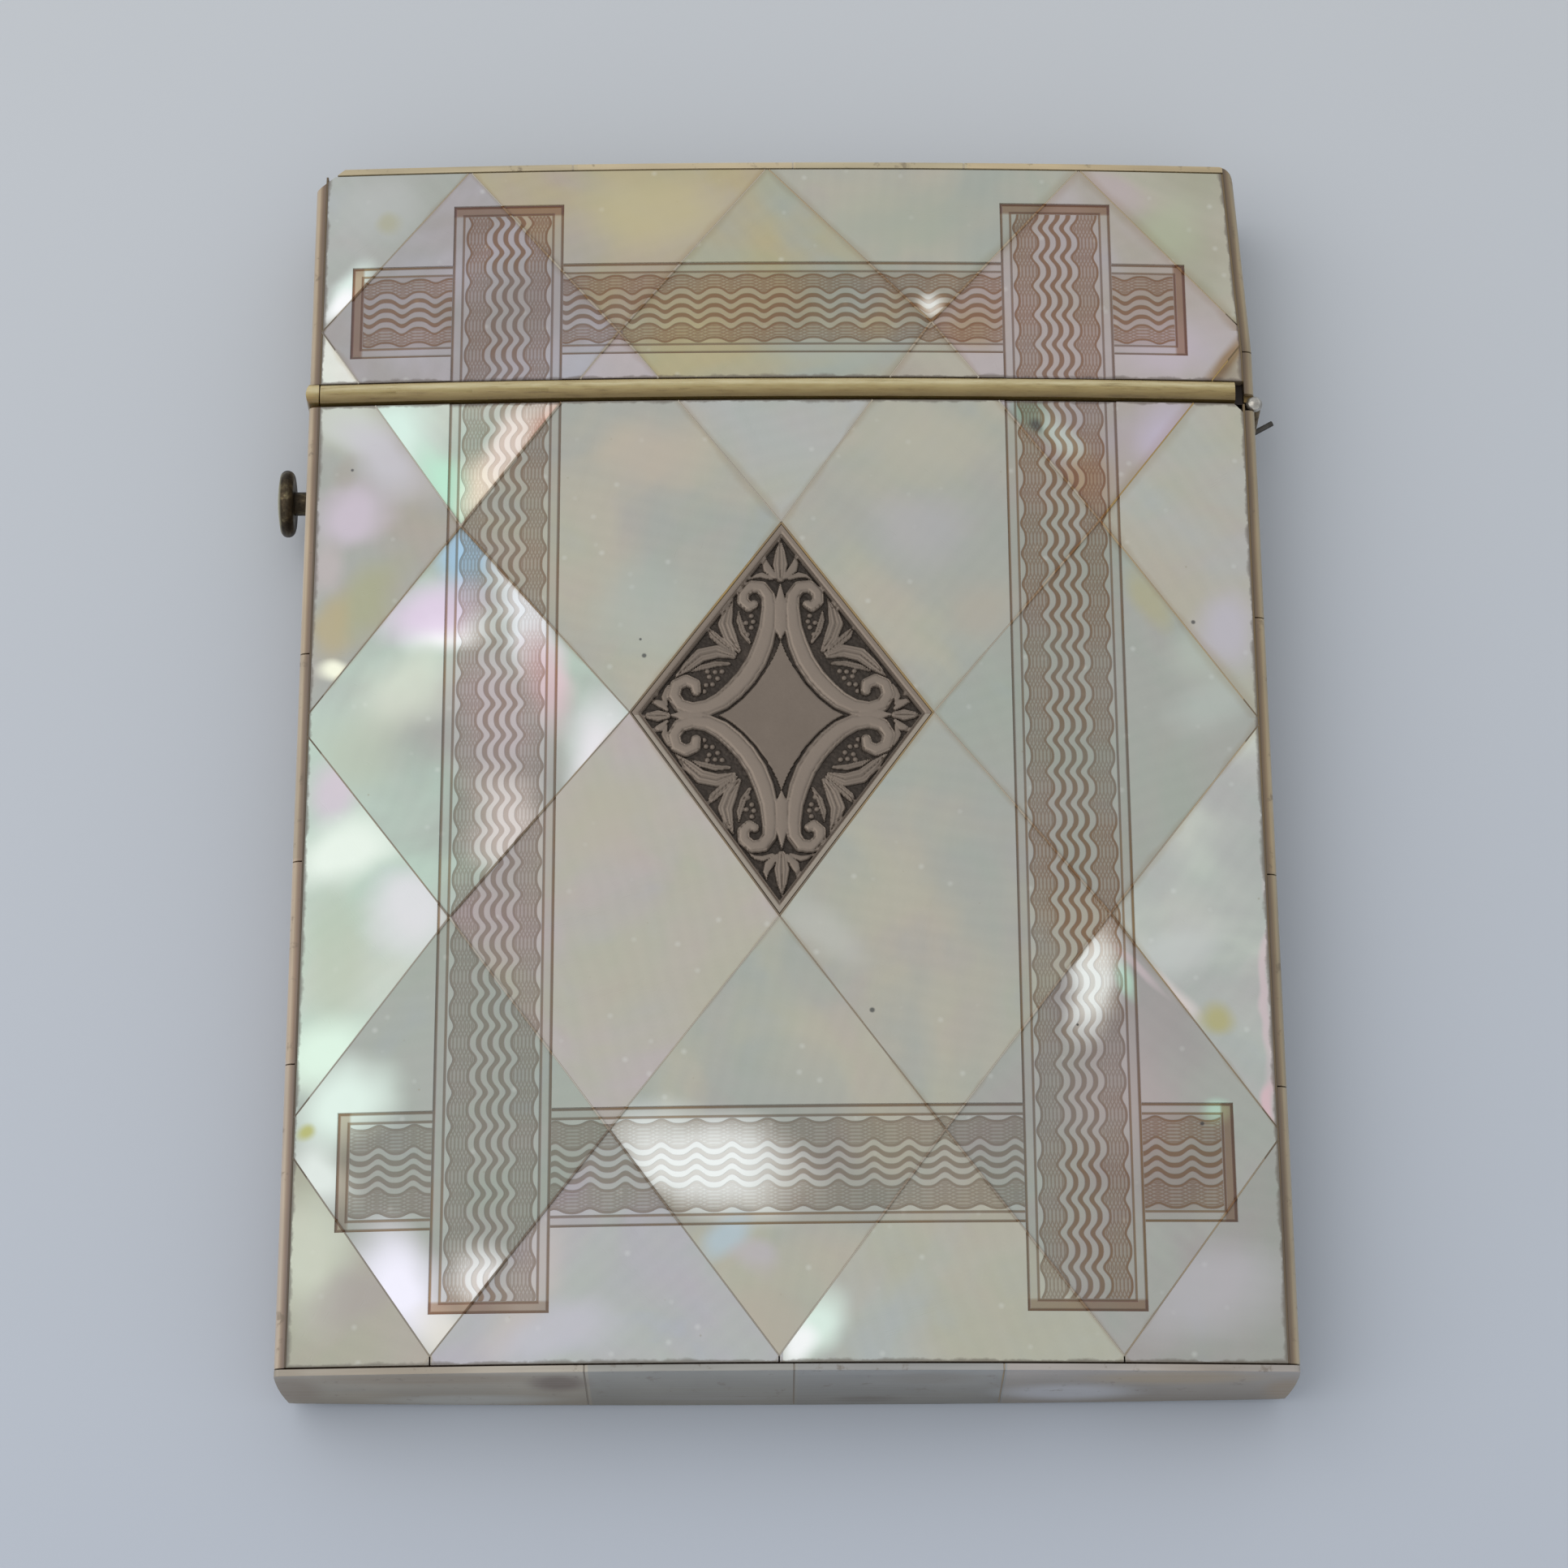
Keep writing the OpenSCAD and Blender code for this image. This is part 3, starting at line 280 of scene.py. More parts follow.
# Painted reflections: bright patches where the lamellae throw the light back are painted into the colour,
# with tinted patches of the shell and a painted shadow at the lid's corner by the hinge:
# lozenge, x, y, half length, half width, turn, colour, strength
paintedLightAndTints = {
    "body0": [(0, -35.6, 9.5, 3.5, 5.5, 10, "#d9ddca", 0.6), (0, -31.8, 6.2, 4.0, 2.2, 20, "#a39790", 0.7),
              (1, -19.5, 6.5, 2.2, 6.5, -25, "#c9bcb4", 0.5), (1, -16.5, 3.2, 5.0, 2.5, 10, "#c6c0cc", 0.6),
              (2, 1.9, 3.4, 1.9, 3.2, -36, "#e0f2e6", 0.95), (2, 0.6, 2.2, 1.3, 1.7, -36, "#ffffff", 0.9),
              (3, 31.5, 6.0, 6.0, 4.0, 10, "#bdb7bd", 0.6)],
    "body1": [(0, -33.4, 21.3, 4.5, 3.4, 40, "#e2f2e6", 1.0),
              (0, -35.2, 15.5, 3.5, 2.4, -50, "#e6ede6", 0.9),
              (0, -28.6, 6.6, 3.4, 5.4, 25, "#f6f2ff", 1.0), (0, -25.4, 2.8, 2.4, 2.6, 0, "#e9e2d4", 0.7),
              (0, -22.0, 6.0, 2.4, 4.6, 30, "#ffffff", 0.9), (0, -36.4, 19.3, 0.8, 0.6, 0, "#b3b04e", 0.9),
              (1, -6.6, 16.2, 8.2, 4.0, -14, "#fbfffd", 1.0),
              (1, -4.6, 10.2, 1.6, 2.6, -40, "#b0c8d8", 0.6),
              (1, -2.4, 8.6, 1.8, 1.5, -40, "#c0b4c4", 0.45), (1, -1.4, 3.6, 3.4, 3.4, 0, "#b3a796", 0.6),
              (2, 23.8, 31.0, 2.6, 5.0, -18, "#f8fcf8", 1.0),
              (2, 26.5, 30.2, 0.8, 1.9, 10, "#bfe6cf", 0.75),
              (2, 27.4, 31.6, 0.35, 3.0, 36, "#d8c3c7", 0.5), (2, 25.2, 21.4, 5.0, 6.0, 0, "#b9a8a6", 0.5),
              (2, 32.3, 20.6, 1.4, 0.9, 20, "#bfe6cf", 0.7)],
    "body2": [(0, -34.9, 46.8, 2.2, 3.0, 0, "#d8c3d4", 0.7), (0, -34.0, 41.6, 4.4, 3.2, 20, "#ebf5e8", 1.0),
              (0, -28.6, 36.4, 3.4, 3.6, 10, "#e6e1e6", 0.8),
              (0, -34.2, 33.0, 3.0, 6.0, 0, "#b5bda2", 0.55),
              (0, -34.4, 25.6, 4.6, 3.2, 15, "#e0f5e2", 1.0), (0, -37.2, 20.6, 2.0, 2.0, 0, "#9a9f97", 0.7),
              (1, -14.0, 44.0, 6.0, 4.0, 15, "#b6ae98", 0.5), (2, 3.0, 34.6, 4.2, 2.2, -40, "#bdbcb3", 0.6),
              (3, 36.8, 30.0, 0.4, 9.0, 0, "#d9bfc4", 0.6), (3, 37.0, 20.4, 0.5, 2.2, 0, "#e0b8bf", 0.7),
              (3, 28.6, 30.4, 0.8, 4.2, 38, "#ecdcd8", 0.8), (3, 32.6, 27.6, 1.6, 1.3, 0, "#b0a866", 0.8),
              (3, 30.0, 33.0, 4.0, 2.2, 35, "#ccd0cb", 0.6)],
    "body3": [(0, -22.0, 53.0, 4.4, 8.0, 10, "#d6c5cb", 0.6),
              (0, -25.0, 66.8, 2.4, 3.6, 0, "#a6cbe6", 0.95),
              (0, -26.6, 60.0, 3.6, 2.2, 12, "#ffffff", 1.0),
              (0, -27.6, 62.0, 4.6, 2.6, 12, "#e8d2ea", 0.85),
              (0, -29.6, 55.0, 4.4, 3.6, 30, "#dde2cf", 0.7),
              (0, -20.4, 61.4, 2.0, 6.6, 20, "#f2f6fa", 1.0),
              (0, -18.4, 55.6, 1.7, 5.2, 15, "#e4c2c8", 0.75),
              (0, -13.8, 48.4, 2.6, 5.6, 5, "#f1ecf0", 0.9), (0, -13.6, 44.6, 2.2, 2.6, 0, "#e7bfe0", 0.9),
              (0, -21.0, 42.4, 3.4, 5.6, 20, "#efe4e0", 0.8), (0, -33.0, 50.0, 4.0, 4.0, 0, "#b8bfa8", 0.6),
              (2, 33.0, 52.6, 3.6, 2.2, 30, "#c0c9c0", 0.4), (2, 29.0, 62.8, 1.3, 3.2, 32, "#b0a87a", 0.6),
              (2, 33.6, 57.4, 3.0, 3.4, 0, "#bbc4b6", 0.5)],
    "body4": [(0, -35.4, 78.4, 4.4, 3.2, -40, "#ccd2c4", 0.9),
              (0, -32.4, 75.2, 5.4, 2.2, -42, "#cbc7ce", 0.8),
              (0, -34.2, 70.4, 3.4, 2.8, 15, "#d0c1cf", 0.8), (0, -35.4, 73.6, 1.1, 1.5, 0, "#a79d90", 0.5),
              (0, -36.2, 65.6, 2.0, 3.0, 0, "#c3b4b4", 0.6),
              (0, -32.6, 62.8, 2.0, 4.8, -34, "#a6a57d", 0.8),
              (0, -35.2, 60.2, 1.7, 3.4, -20, "#b5a478", 0.75),
              (0, -35.6, 56.6, 1.7, 0.7, 4, "#fbfbe2", 1.0), (1, -10.0, 75.0, 4.6, 3.4, 0, "#c0b09c", 0.5),
              (1, -10.6, 61.4, 4.6, 4.0, 0, "#aab2aa", 0.5), (2, 11.0, 76.0, 5.0, 3.6, 0, "#b8b29f", 0.5),
              (2, 11.0, 68.4, 4.4, 3.6, 0, "#b0adaf", 0.6), (2, 15.6, 61.6, 3.6, 3.0, 0, "#b3a695", 0.5),
              (3, 35.0, 60.0, 2.6, 3.8, 10, "#bdb7c2", 0.8)],
    "body5": [(0, -31.2, 76.8, 3.4, 4.0, 20, "#dcf3e6", 1.0),
              (0, -26.9, 72.2, 2.0, 3.6, 25, "#bfeed2", 0.9),
              (0, -24.0, 73.0, 2.2, 3.4, -30, "#fff5dc", 1.0),
              (0, -18.4, 77.0, 2.2, 3.4, -30, "#f3bca6", 0.9),
              (0, -21.8, 76.4, 1.8, 4.4, -30, "#fdf0e6", 0.9),
              (2, 20.2, 78.4, 1.5, 2.4, 30, "#86a58c", 0.8), (2, 22.4, 76.6, 1.3, 2.6, 30, "#cfe0d6", 0.6),
              (2, 20.6, 77.4, 0.5, 0.7, 0, "#4a4a3c", 0.8), (2, 31.0, 76.6, 3.4, 3.6, 0, "#beb3c4", 0.9),
              (2, 23.8, 72.8, 2.6, 3.0, 0, "#ae9266", 0.7)],
    # a painted shadow at the lid's lower right corner, by the hinge
    "lid4": [(3, 35.2, 82.8, 2.2, 1.6, 30, "#8f8068", 0.8)],
    "lid5": [(1, -6.0, 88.6, 6.0, 4.0, 10, "#b9ad80", 0.6), (1, 4.0, 84.6, 6.0, 2.2, 0, "#a5aba0", 0.7),
             (2, 31.4, 84.8, 4.0, 3.0, 20, "#bfb2ba", 0.8), (2, 15.4, 86.2, 3.0, 2.0, 0, "#b39c6c", 0.6)],
    "lid6": [(0, -34.6, 90.6, 1.3, 3.0, -38, "#e4f3ea", 1.0),
             (0, -35.4, 89.2, 0.9, 1.6, -38, "#ffffff", 1.0), (0, -32.6, 98.0, 4.2, 3.0, 0, "#b6b8b4", 0.7),
             (0, -31.8, 96.6, 1.2, 0.8, 0, "#a8a47e", 0.6), (1, -10.0, 97.0, 7.0, 3.6, 0, "#bfb386", 0.7),
             (2, 12.3, 88.4, 1.0, 1.1, 30, "#f4f7f2", 1.0), (2, 10.0, 96.0, 6.0, 3.4, 0, "#a8aa96", 0.6),
             (3, 27.4, 99.0, 3.0, 1.6, -30, "#b9a8ac", 0.6), (3, 32.0, 95.4, 2.6, 3.4, -20, "#adb295", 0.7)],
}

# Small dark pits in the shell: x, y, radius in mm, for each row
pits = {
    "body1": [(31.4, 19.2, 0.2), (22.2, 27.0, 0.12)],
    "body2": [(6.6, 28.1, 0.26)],
    "body4": [(-10.9, 57.6, 0.24), (-11.2, 59.0, 0.14), (32.3, 60.6, 0.22), (-34.3, 74.2, 0.16)],
}


def faceZ(x):  # how high the face stands at x, in mm
    return math.sqrt(case["faceRadius"] ** 2 - x * x) + case["faceCentre"]


def seamPairs(lower, higher):  # the crossings of two rows that share a seam
    return [(a, b) for a in lower for b in higher if abs(a[0] - b[0]) < case["seamRun"]]


# The engraved straps: a wavy ribbon of four bright lines between guilloche hatching, ruled borders outside
strapTree, strapIn, place, axes = newGroup("strapEngraving", [("Pearl", "Color")],
                                           [("Colour", "Color"), ("Cut", "Float")])
stain = addNode(strapTree, "TexNoise", {"Vector": place, "Scale": 0.11, "Detail": 3.0, "Roughness": 0.6})
bright = addNode(strapTree, "RGBToBW", [strapIn[0]])
warm = 0.0
for x, y, radius in strap["warm"]:
    glow = softSpot(strapTree, place, (x, y, 5.0), (radius, radius, 30.0))
    warm = addNode(strapTree, "Math", [glow, warm], operation="MAXIMUM")
halfWide = strap["wide"] / 2
s = addSums(strapTree, dict(axes, stain=stain, bright=bright, warm=warm), [
    # how far off the nearest strap's middle (v) and along it (u), and how far inside its edge
    ("side", "sign", "x"), ("uprightX", "*+", "side", -strap["out"], "x"),
    ("uprightV", "-", "uprightX", strap["shift"]), ("uprightFar", "abs", "uprightV"),
    ("uprightIn", "-", halfWide, "uprightFar"), ("fromFoot", "-", "y", strap["foot"]),
    ("fromTop", "-", strap["top"], "y"), ("uprightEnd", "min", "fromFoot", "fromTop"),
    ("uprightEdge", "min", "uprightIn", "uprightEnd"), ("upper", ">", "y", strap["halfway"]),
    ("lowMiddle", "*+", "x", strap["lean"], strap["low"]),
    ("crossMiddle", "mix", "upper", "lowMiddle", strap["high"]), ("crossV", "-", "y", "crossMiddle"),
    ("crossFar", "abs", "crossV"),
    ("crossHalf", "*+", "upper", (strap["highWide"] - strap["lowWide"]) / 2, strap["lowWide"] / 2),
    ("crossIn", "-", "crossHalf", "crossFar"), ("crossX", "*+", "upper", strap["highShift"], "x"),
    ("xFar", "abs", "crossX"), ("crossEnd", "-", strap["reach"], "xFar"),
    ("crossEdge", "min", "crossIn", "crossEnd"), ("onUpright", ">", "uprightEdge", 0.0),
    ("uprightOut", "*", "side", "uprightV"),
    ("uprightW", "*", "uprightOut", -1.0),  # towards the middle of the case
    ("crossSign", "*+", "upper", -2.0, 1.0), ("crossW", "*", "crossV", "crossSign"),
    ("v", "mix", "onUpright", "crossW", "uprightW"), ("uprightY", "*+", "side", strap["uprightStep"], "y"),
    ("uprightU", "-", "uprightY", strap["uprightFrom"]), ("crossU", "-", "x", strap["crossFrom"]),
    ("u", "mix", "onUpright", "crossU", "uprightU"),
    ("edge", "mix", "onUpright", "crossEdge", "uprightEdge"),
    ("end", "mix", "onUpright", "crossEnd", "uprightEnd"),
    ("inside", "linear", "edge", 0.0, 0.05, 0.0, 1.0),
    ("pastRules", "linear", "edge", strap["rules"], strap["rules"] + 0.05, 0.0, 1.0),
    # the wave, its bright lines, and the hatching that follows it
    ("waveTurn", "*", "u", 2 * math.pi / strap["wave"]), ("waveCos", "cosine", "waveTurn"),
    ("peakTurn", "*", "waveTurn", 2.0), ("peakCos", "cosine", "peakTurn"),
    ("swing", "*", "waveCos", strap["swing"]), ("h", "*+", "peakCos", strap["peak"], "swing"),
    ("vWave", "-", "v", "h"), ("lineShare", "/", "vWave", strap["pitch"]),
    ("lineFract", "fract", "lineShare"), ("lineAway", "-", "lineFract", 0.5),
    ("lineFar", "abs", "lineAway"), ("pale", "linear", "lineFar", 0.22, 0.32, 0.8, 0.0),
    ("waveCut", "-", 1.0, "pale"), ("vWaveFar", "abs", "vWave"),
    ("inWave", "linear", "vWaveFar", strap["ribbon"], strap["ribbon"] + 0.06, 1.0, 0.0),
    ("hSoft", "*", "h", strap["scallop"]), ("vScallop", "+", "v", "hSoft"),
    ("vScallopFar", "abs", "vScallop"), ("half", "mix", "onUpright", "crossHalf", halfWide),
    ("fromEdge", "-", "half", "vScallopFar"), ("inField", "-", "fromEdge", strap["field"]),
    ("inHatch", "linear", "inField", -0.06, 0.0, 0.0, 1.0),
    ("outline", "linear", "inField", 0.14, 0.22, 1.0, 0.0),
    ("hatchA", "*", "vScallop", math.pi / strap["hatch"]), ("hatchASine", "sine", "hatchA"),
    ("hatchAFar", "abs", "hatchASine"), ("vCross", "*+", "h", 0.7, "v"),
    ("hatchB", "*", "vCross", math.pi / strap["hatch"]), ("hatchBSine", "sine", "hatchB"),
    ("hatchBFar", "abs", "hatchBSine"), ("hatch", "min", "hatchAFar", "hatchBFar"),
    ("hatchPale", "linear", "hatch", 0.25, 0.85, 0.12, 0.46), ("hatchCut", "-", 1.0, "hatchPale"),
    ("hatchLined", "max", "hatchCut", "outline"), ("hatchField", "*", "hatchLined", "inHatch"),
    ("fieldCut", "mix", "inWave", "hatchField", "waveCut"), ("fieldIn", "*", "fieldCut", "pastRules"),
    ("cut", "*", "fieldIn", "inside"),
    # old stain in the cuts, heaviest at the top right and at the straps' ends
    ("stained", "linear", "stain", 0.47, 0.62, 0.0, 0.75),
    ("endRust", "linear", "end", 0.8, 1.3, 0.85, 0.0), ("rust", "max", "stained", "endRust"),
    ("endBand", "linear", "end", 0.85, 1.05, 0.75, 0.0), ("endFill", "*", "endBand", "inside"),
    ("up", "*+", "y", 0.006, -0.30), ("upRight", "*+", "x", 0.004, "up"),
    ("heavier", "+", "stain", "upRight"), ("heavy", "*+", "warm", 0.95, "heavier"),
    ("tan", "linear", "heavy", 0.44, 0.80, 0.0, 1.0), ("warmLine", "*", "warm", 2.2),
    ("rusty", "max", "rust", "warmLine"), ("soakShare", "*+", "onUpright", -0.18, 0.38),
    ("soak", "*", "tan", "soakShare"), ("soakIn", "*", "soak", "inside"),
    ("soaked", "*", "soakIn", "pastRules"), ("cutSoaked", "max", "cut", "soaked"),
    ("shine", "linear", "bright", 0.50, 0.90, 1.0, 0.5),  # painted highlight: where the pearl is painted bright, the fine cuts are painted fainter
    ("cutShown", "*", "cutSoaked", "shine"),
])
clear, faint, full = (0, 0, 0, 1), (0.14, 0.14, 0.14, 1), (1, 1, 1, 1)
strong = (0.9, 0.9, 0.9, 1)
s["rule"] = addNode(strapTree, "ValToRGB", [s["edge"]], stops=[
    (0.0, full), (0.17, full), (0.27, faint), (0.73, faint), (0.80, strong), (0.92, strong), (0.99, clear)])
addSums(strapTree, s, [("line", "*", "rule", "inside"), ("depth", "max", "cut", "line")])
engraving = strapIn[0]
for share, tintShare, plain, tint in (
        ("cutShown", "tan", "cutColour", "cutRust"), ("endFill", "tan", "endColour", "endRust"),
        ("line", "rusty", "lineColour", "rustColour")):
    tone = addNode(strapTree, "Mix", {0: s[tintShare], 6: strap[plain], 7: strap[tint]}, **rgba)
    engraving = addNode(strapTree, "Mix", {0: s[share], 6: engraving, 7: tone}, **multiplied)
addNode(strapTree, "NodeGroupOutput", [engraving, s["depth"]])

# The figure of the shell, turned and shifted in each lozenge by its seed
figure = {
    "cloud": 0.075, "hue": 0.10, "streak": 0.9, "arc": 0.24,  # per mm
    "fleck": 0.42, "fleckSize": 0.13, "fleckColour": "#e4e7e2",
    "speck": 0.3, "speckSize": 0.035, "speckColour": "#8d8368",
    "hues": [(0.30, "#eee8e9"), (0.42, "#eeebe8"), (0.50, "#edece9"), (0.60, "#eaece7"), (0.72, "#e8ebec")],
}
figureTree, figureIn, place, axes = newGroup(
    "shellFigure", [("Tone", "Color"), ("Clouds", "Color"), ("Seed", "Float")],
    [("Colour", "Color"), ("Grain", "Float"), ("Swell", "Float")])
s = {"seed": figureIn[2]}
addSums(figureTree, s, [("angle", "*", "seed", 41.0), ("shift", "*", "seed", 97.0)])
turned = addNode(figureTree, "VectorRotate", {"Vector": place, "Angle": s["angle"]}, rotation_type="Z_AXIS")
cloud = addNode(figureTree, "TexNoise", {"Vector": turned, "W": s["shift"], "Scale": figure["cloud"],
                                         "Detail": 3.0, "Roughness": 0.5, "Distortion": 0.7}, **seeded)
hue = addNode(figureTree, "TexNoise", {"Vector": turned, "W": s["shift"], "Scale": figure["hue"],
                                       "Detail": 2.5, "Distortion": 1.2}, **seeded)
streakPlace = addNode(figureTree, "Mapping", {"Vector": turned, "Scale": (0.12, 1.0, 1.0)})
streak = addNode(figureTree, "TexNoise", {"Vector": streakPlace, "W": s["shift"], "Scale": figure["streak"],
                                          "Detail": 4.0, "Roughness": 0.6}, **seeded)
arcs = addNode(figureTree, "TexWave", {"Vector": turned, "Scale": figure["arc"], "Distortion": 5.0,
                                       "Detail": 2.0, "Detail Scale": 0.35, "Phase Offset": s["shift"]})
grain = addNode(figureTree, "TexNoise", {"Vector": place, "Scale": 5.0, "Detail": 2.0})
fleck, speck = [addNode(figureTree, "TexVoronoi", {"Vector": place, "Scale": figure[n]}).outputs["Distance"]
                for n in ("fleck", "speck")]
s.update(cloud=cloud, streak=streak, arcs=arcs, grain=grain, fleck=fleck, speck=speck)
addSums(figureTree, s, [
    ("cloudShare", "smoothstep", "cloud", 0.36, 0.64, 0.0, 1.0),
    ("streakLight", "*+", "streak", 0.06, 1.07), ("arcLight", "*+", "arcs", 0.02, "streakLight"),
    ("light", "*+", "grain", 0.05, "arcLight"),
    ("fleckShare", "linear", "fleck", figure["fleckSize"] * 0.2, figure["fleckSize"], 0.22, 0.0),
    ("speckShare", "linear", "speck", figure["speckSize"] * 0.3, figure["speckSize"], 0.5, 0.0),
])
clouded = addNode(figureTree, "Mix", {0: s["cloudShare"], 6: figureIn[0], 7: figureIn[1]}, **rgba)
hueTone = addNode(figureTree, "ValToRGB", [hue], stops=figure["hues"])
hued = addNode(figureTree, "Mix", {0: 1.0, 6: clouded, 7: hueTone}, **multiplied)
lit = addNode(figureTree, "VectorMath", {0: hued, "Scale": s["light"]}, operation="SCALE")
flecked = addNode(figureTree, "Mix", {0: s["fleckShare"], 6: lit, 7: figure["fleckColour"]}, **rgba)
specked = addNode(figureTree, "Mix", {0: s["speckShare"], 6: flecked, 7: figure["speckColour"]}, **rgba)
addNode(figureTree, "NodeGroupOutput", [specked, streak, cloud])

# Nacre, ground and polished by hand: a soft gloss over layers that colour the light a little
nacreLook = {
    "warpScale": 0.13, "warp": 4.0, "patchReach": 1.35, "pit": "#3d3830",
    # the dirt colour also paints the shade along the mouth and the rim
    "dirt": "#5f503f", "dirtShare": 0.8, "seamStain": "#d0b485", "stainShare": 0.3,
    # the worn corner of the lid, at the hinge
    "wornCorner": (35.6, 84.0, 5.0), "cornerReach": (4.5, 4.5, 20.0), "cornerMore": 3.4,
    "swell": 0.00035, "grain": 0.00002, "cutDepth": 0.00005,
    "gloss": {"IOR": 1.53, "Metallic": 0.0, "Thin Film Thickness": 380.0, "Thin Film IOR": 1.6,
              "Coat Weight": 0.2, "Coat Roughness": 0.2},
}
across = {"from": -40, "width": 80, "ids": 8}  # mm, the ramps that give each lozenge its tones and its number
# How far out sideways, also where the lid leans in, and towards the top right, where stains are heavier
sideways = [
    ("overLean", "-", "y", case["leanY"]), ("pastLean", "max", "overLean", 0.0),
    ("leanIn", "*+", "pastLean", case["lean"], "x"), ("xOut", "abs", "x"),
    ("xFar", "max", "leanIn", "xOut"),
]
topRight = [("up", "*+", "y", 0.004, -0.20), ("upRight", "*+", "x", 0.004, "up")]


def seamDistance(tree, flat, lower, higher):  # mm from the nearest seam between two rows of crossings
    nearest = None
    for a, b in seamPairs(lower, higher):
        run = math.hypot(b[0] - a[0], b[1] - a[1])
        nx, ny = (b[1] - a[1]) / run, (a[0] - b[0]) / run
        normal = (nx, ny, -(nx * a[0] + ny * a[1]))
        line = addNode(tree, "VectorMath", [flat, normal], operation="DOT_PRODUCT")
        away = addNode(tree, "Math", [line], operation="ABSOLUTE")
        nearest = addNode(tree, "Math", [nearest, away], operation="MINIMUM") if nearest else away
    return nearest


def nacre(name, k, rowTones, rowPaintedLightAndTints, seedBase, engraved, rowPits=()):
    look = nacreLook
    edges = [x for x, y in crossings[k] if abs(x) < case["pearlX"] - 1]
    material, tree, place, s = newMaterial(name)
    addSums(tree, s, [("across", "*+", "x", 1 / across["width"], -across["from"] / across["width"])])
    places = [0.0] + [(x - across["from"]) / across["width"] for x in edges]
    ids = [(i + 1) / across["ids"] for i in range(len(places))]
    tone, clouds = [addNode(tree, "ValToRGB", [s["across"]], shape="CONSTANT", stops=[
        (p, hexColour(pearl[t[n]], i)) for p, t, i in zip(places, rowTones, ids)]) for n in (0, 1)]
    s["id"] = tone.outputs["Alpha"]
    addSums(tree, s, [("seed", "+", "id", seedBase)])
    shell = addNode(tree, "Group", {"Tone": tone, "Clouds": clouds, "Seed": s["seed"]}, node_tree=figureTree)
    colour = shell.outputs["Colour"]
    flat = addNode(tree, "CombineXYZ", [s["x"], s["y"], 0.0])
    if rowPaintedLightAndTints:  # each painted reflection, tint or shadow is a soft spot, pulled about by the same warp
        bend = addNode(tree, "TexNoise", {"Vector": flat, "Scale": look["warpScale"], "Detail": 2.0,
                                          "Roughness": 0.45})
        push = addNode(tree, "VectorMath", [bend.outputs["Color"], (0.5, 0.5, 0.5)], operation="SUBTRACT")
        shove = addNode(tree, "VectorMath", {0: push, "Scale": look["warp"]}, operation="SCALE")
        shoved = addNode(tree, "VectorMath", [flat, shove], operation="ADD")
        warped = addNode(tree, "VectorMath", [shoved, (1.0, 1.0, 0.0)], operation="MULTIPLY")
        for lozenge, x, y, long, wide, turn, tint, strength in rowPaintedLightAndTints:
            radii = (long * look["patchReach"], wide * look["patchReach"], 1)
            s["glow"] = softSpot(tree, warped, (x, y, 0), radii, turn)
            addSums(tree, s, [("soft", "smoothstep", "glow", 0.0, 0.8, 0.0, strength),
                              ("mine", "same", "id", (lozenge + 1) / across["ids"], 0.03),
                              ("share", "*", "soft", "mine")])
            colour = addNode(tree, "Mix", {0: s["share"], 6: colour, 7: tint}, **rgba)
    for x, y, radius in rowPits:
        off = addNode(tree, "VectorMath", [flat, (x, y, 0.0)], operation="DISTANCE").outputs["Value"]
        pit = addNode(tree, "MapRange", [off, radius * 0.5, radius, 0.85, 0.0])
        colour = addNode(tree, "Mix", {0: pit, 6: colour, 7: look["pit"]}, **rgba)
    # Dirt along the side and foot borders, painted shade along the mouth and the rim where the rim shades the
    # pearl, and old glue crept into the pearl along the seams, most at the top right
    plane = addNode(tree, "CombineXYZ", [s["x"], s["y"], 1.0])
    pairs = zip(crossings[max(k - 1, 0):k + 1], crossings[max(k, 1):k + 2])  # with the rows under and over it
    seams = [seamDistance(tree, plane, lower, higher) for lower, higher in pairs]
    grime = addNode(tree, "TexNoise", {"Vector": place, "Scale": 0.5, "Detail": 4.0, "Roughness": 0.65})
    creep = addNode(tree, "TexNoise", {"Vector": place, "Scale": 0.14, "Detail": 3.0, "Roughness": 0.6})
    s.update(below=seams[0], above=seams[-1], grime=grime, creep=creep,
             greasy=softSpot(tree, place, look["wornCorner"], look["cornerReach"]))
    addSums(tree, s, [
        *sideways, *topRight, ("fromSide", "-", case["pearlX"], "xFar"),
        ("fromFoot", "-", "y", case["footY"]), ("low", "min", "fromSide", "fromFoot"),
        ("mouth", "-", "y", case["mouthY"]), ("fromMouth", "abs", "mouth"),
        ("rim", "-", "y", case["lidY"]), ("fromRim", "abs", "rim"),
        ("joint", "min", "fromMouth", "fromRim"), ("near", "min", "low", "joint"),
        ("reach", "linear", "grime", 0.35, 0.65, 0.08, 0.42), ("dirtShare", "/", "near", "reach"),
        ("dirt", "linear", "dirtShare", 0.25, 1.0, look["dirtShare"], 0.0),
        ("upper", ">", "y", sum(y for x, y in crossings[k]) / len(crossings[k])),
        ("seam", "mix", "upper", "below", "above"),
        ("heavier", "*+", "greasy", 0.45, "upRight"), ("heavy", "+", "creep", "heavier"),
        ("width", "linear", "heavy", 0.42, 0.85, 0.12, 1.0), ("seamShare", "/", "seam", "width"),
        ("stain", "smoothstep", "seamShare", 0.1, 1.0, look["stainShare"], 0.0),
        ("greasyMore", "*+", "greasy", look["cornerMore"], 1.0),
        ("stained", "*", "stain", "greasyMore"),
        ("rough", "linear", shell.outputs["Grain"], 0.3, 0.7, 0.26, 0.38)])
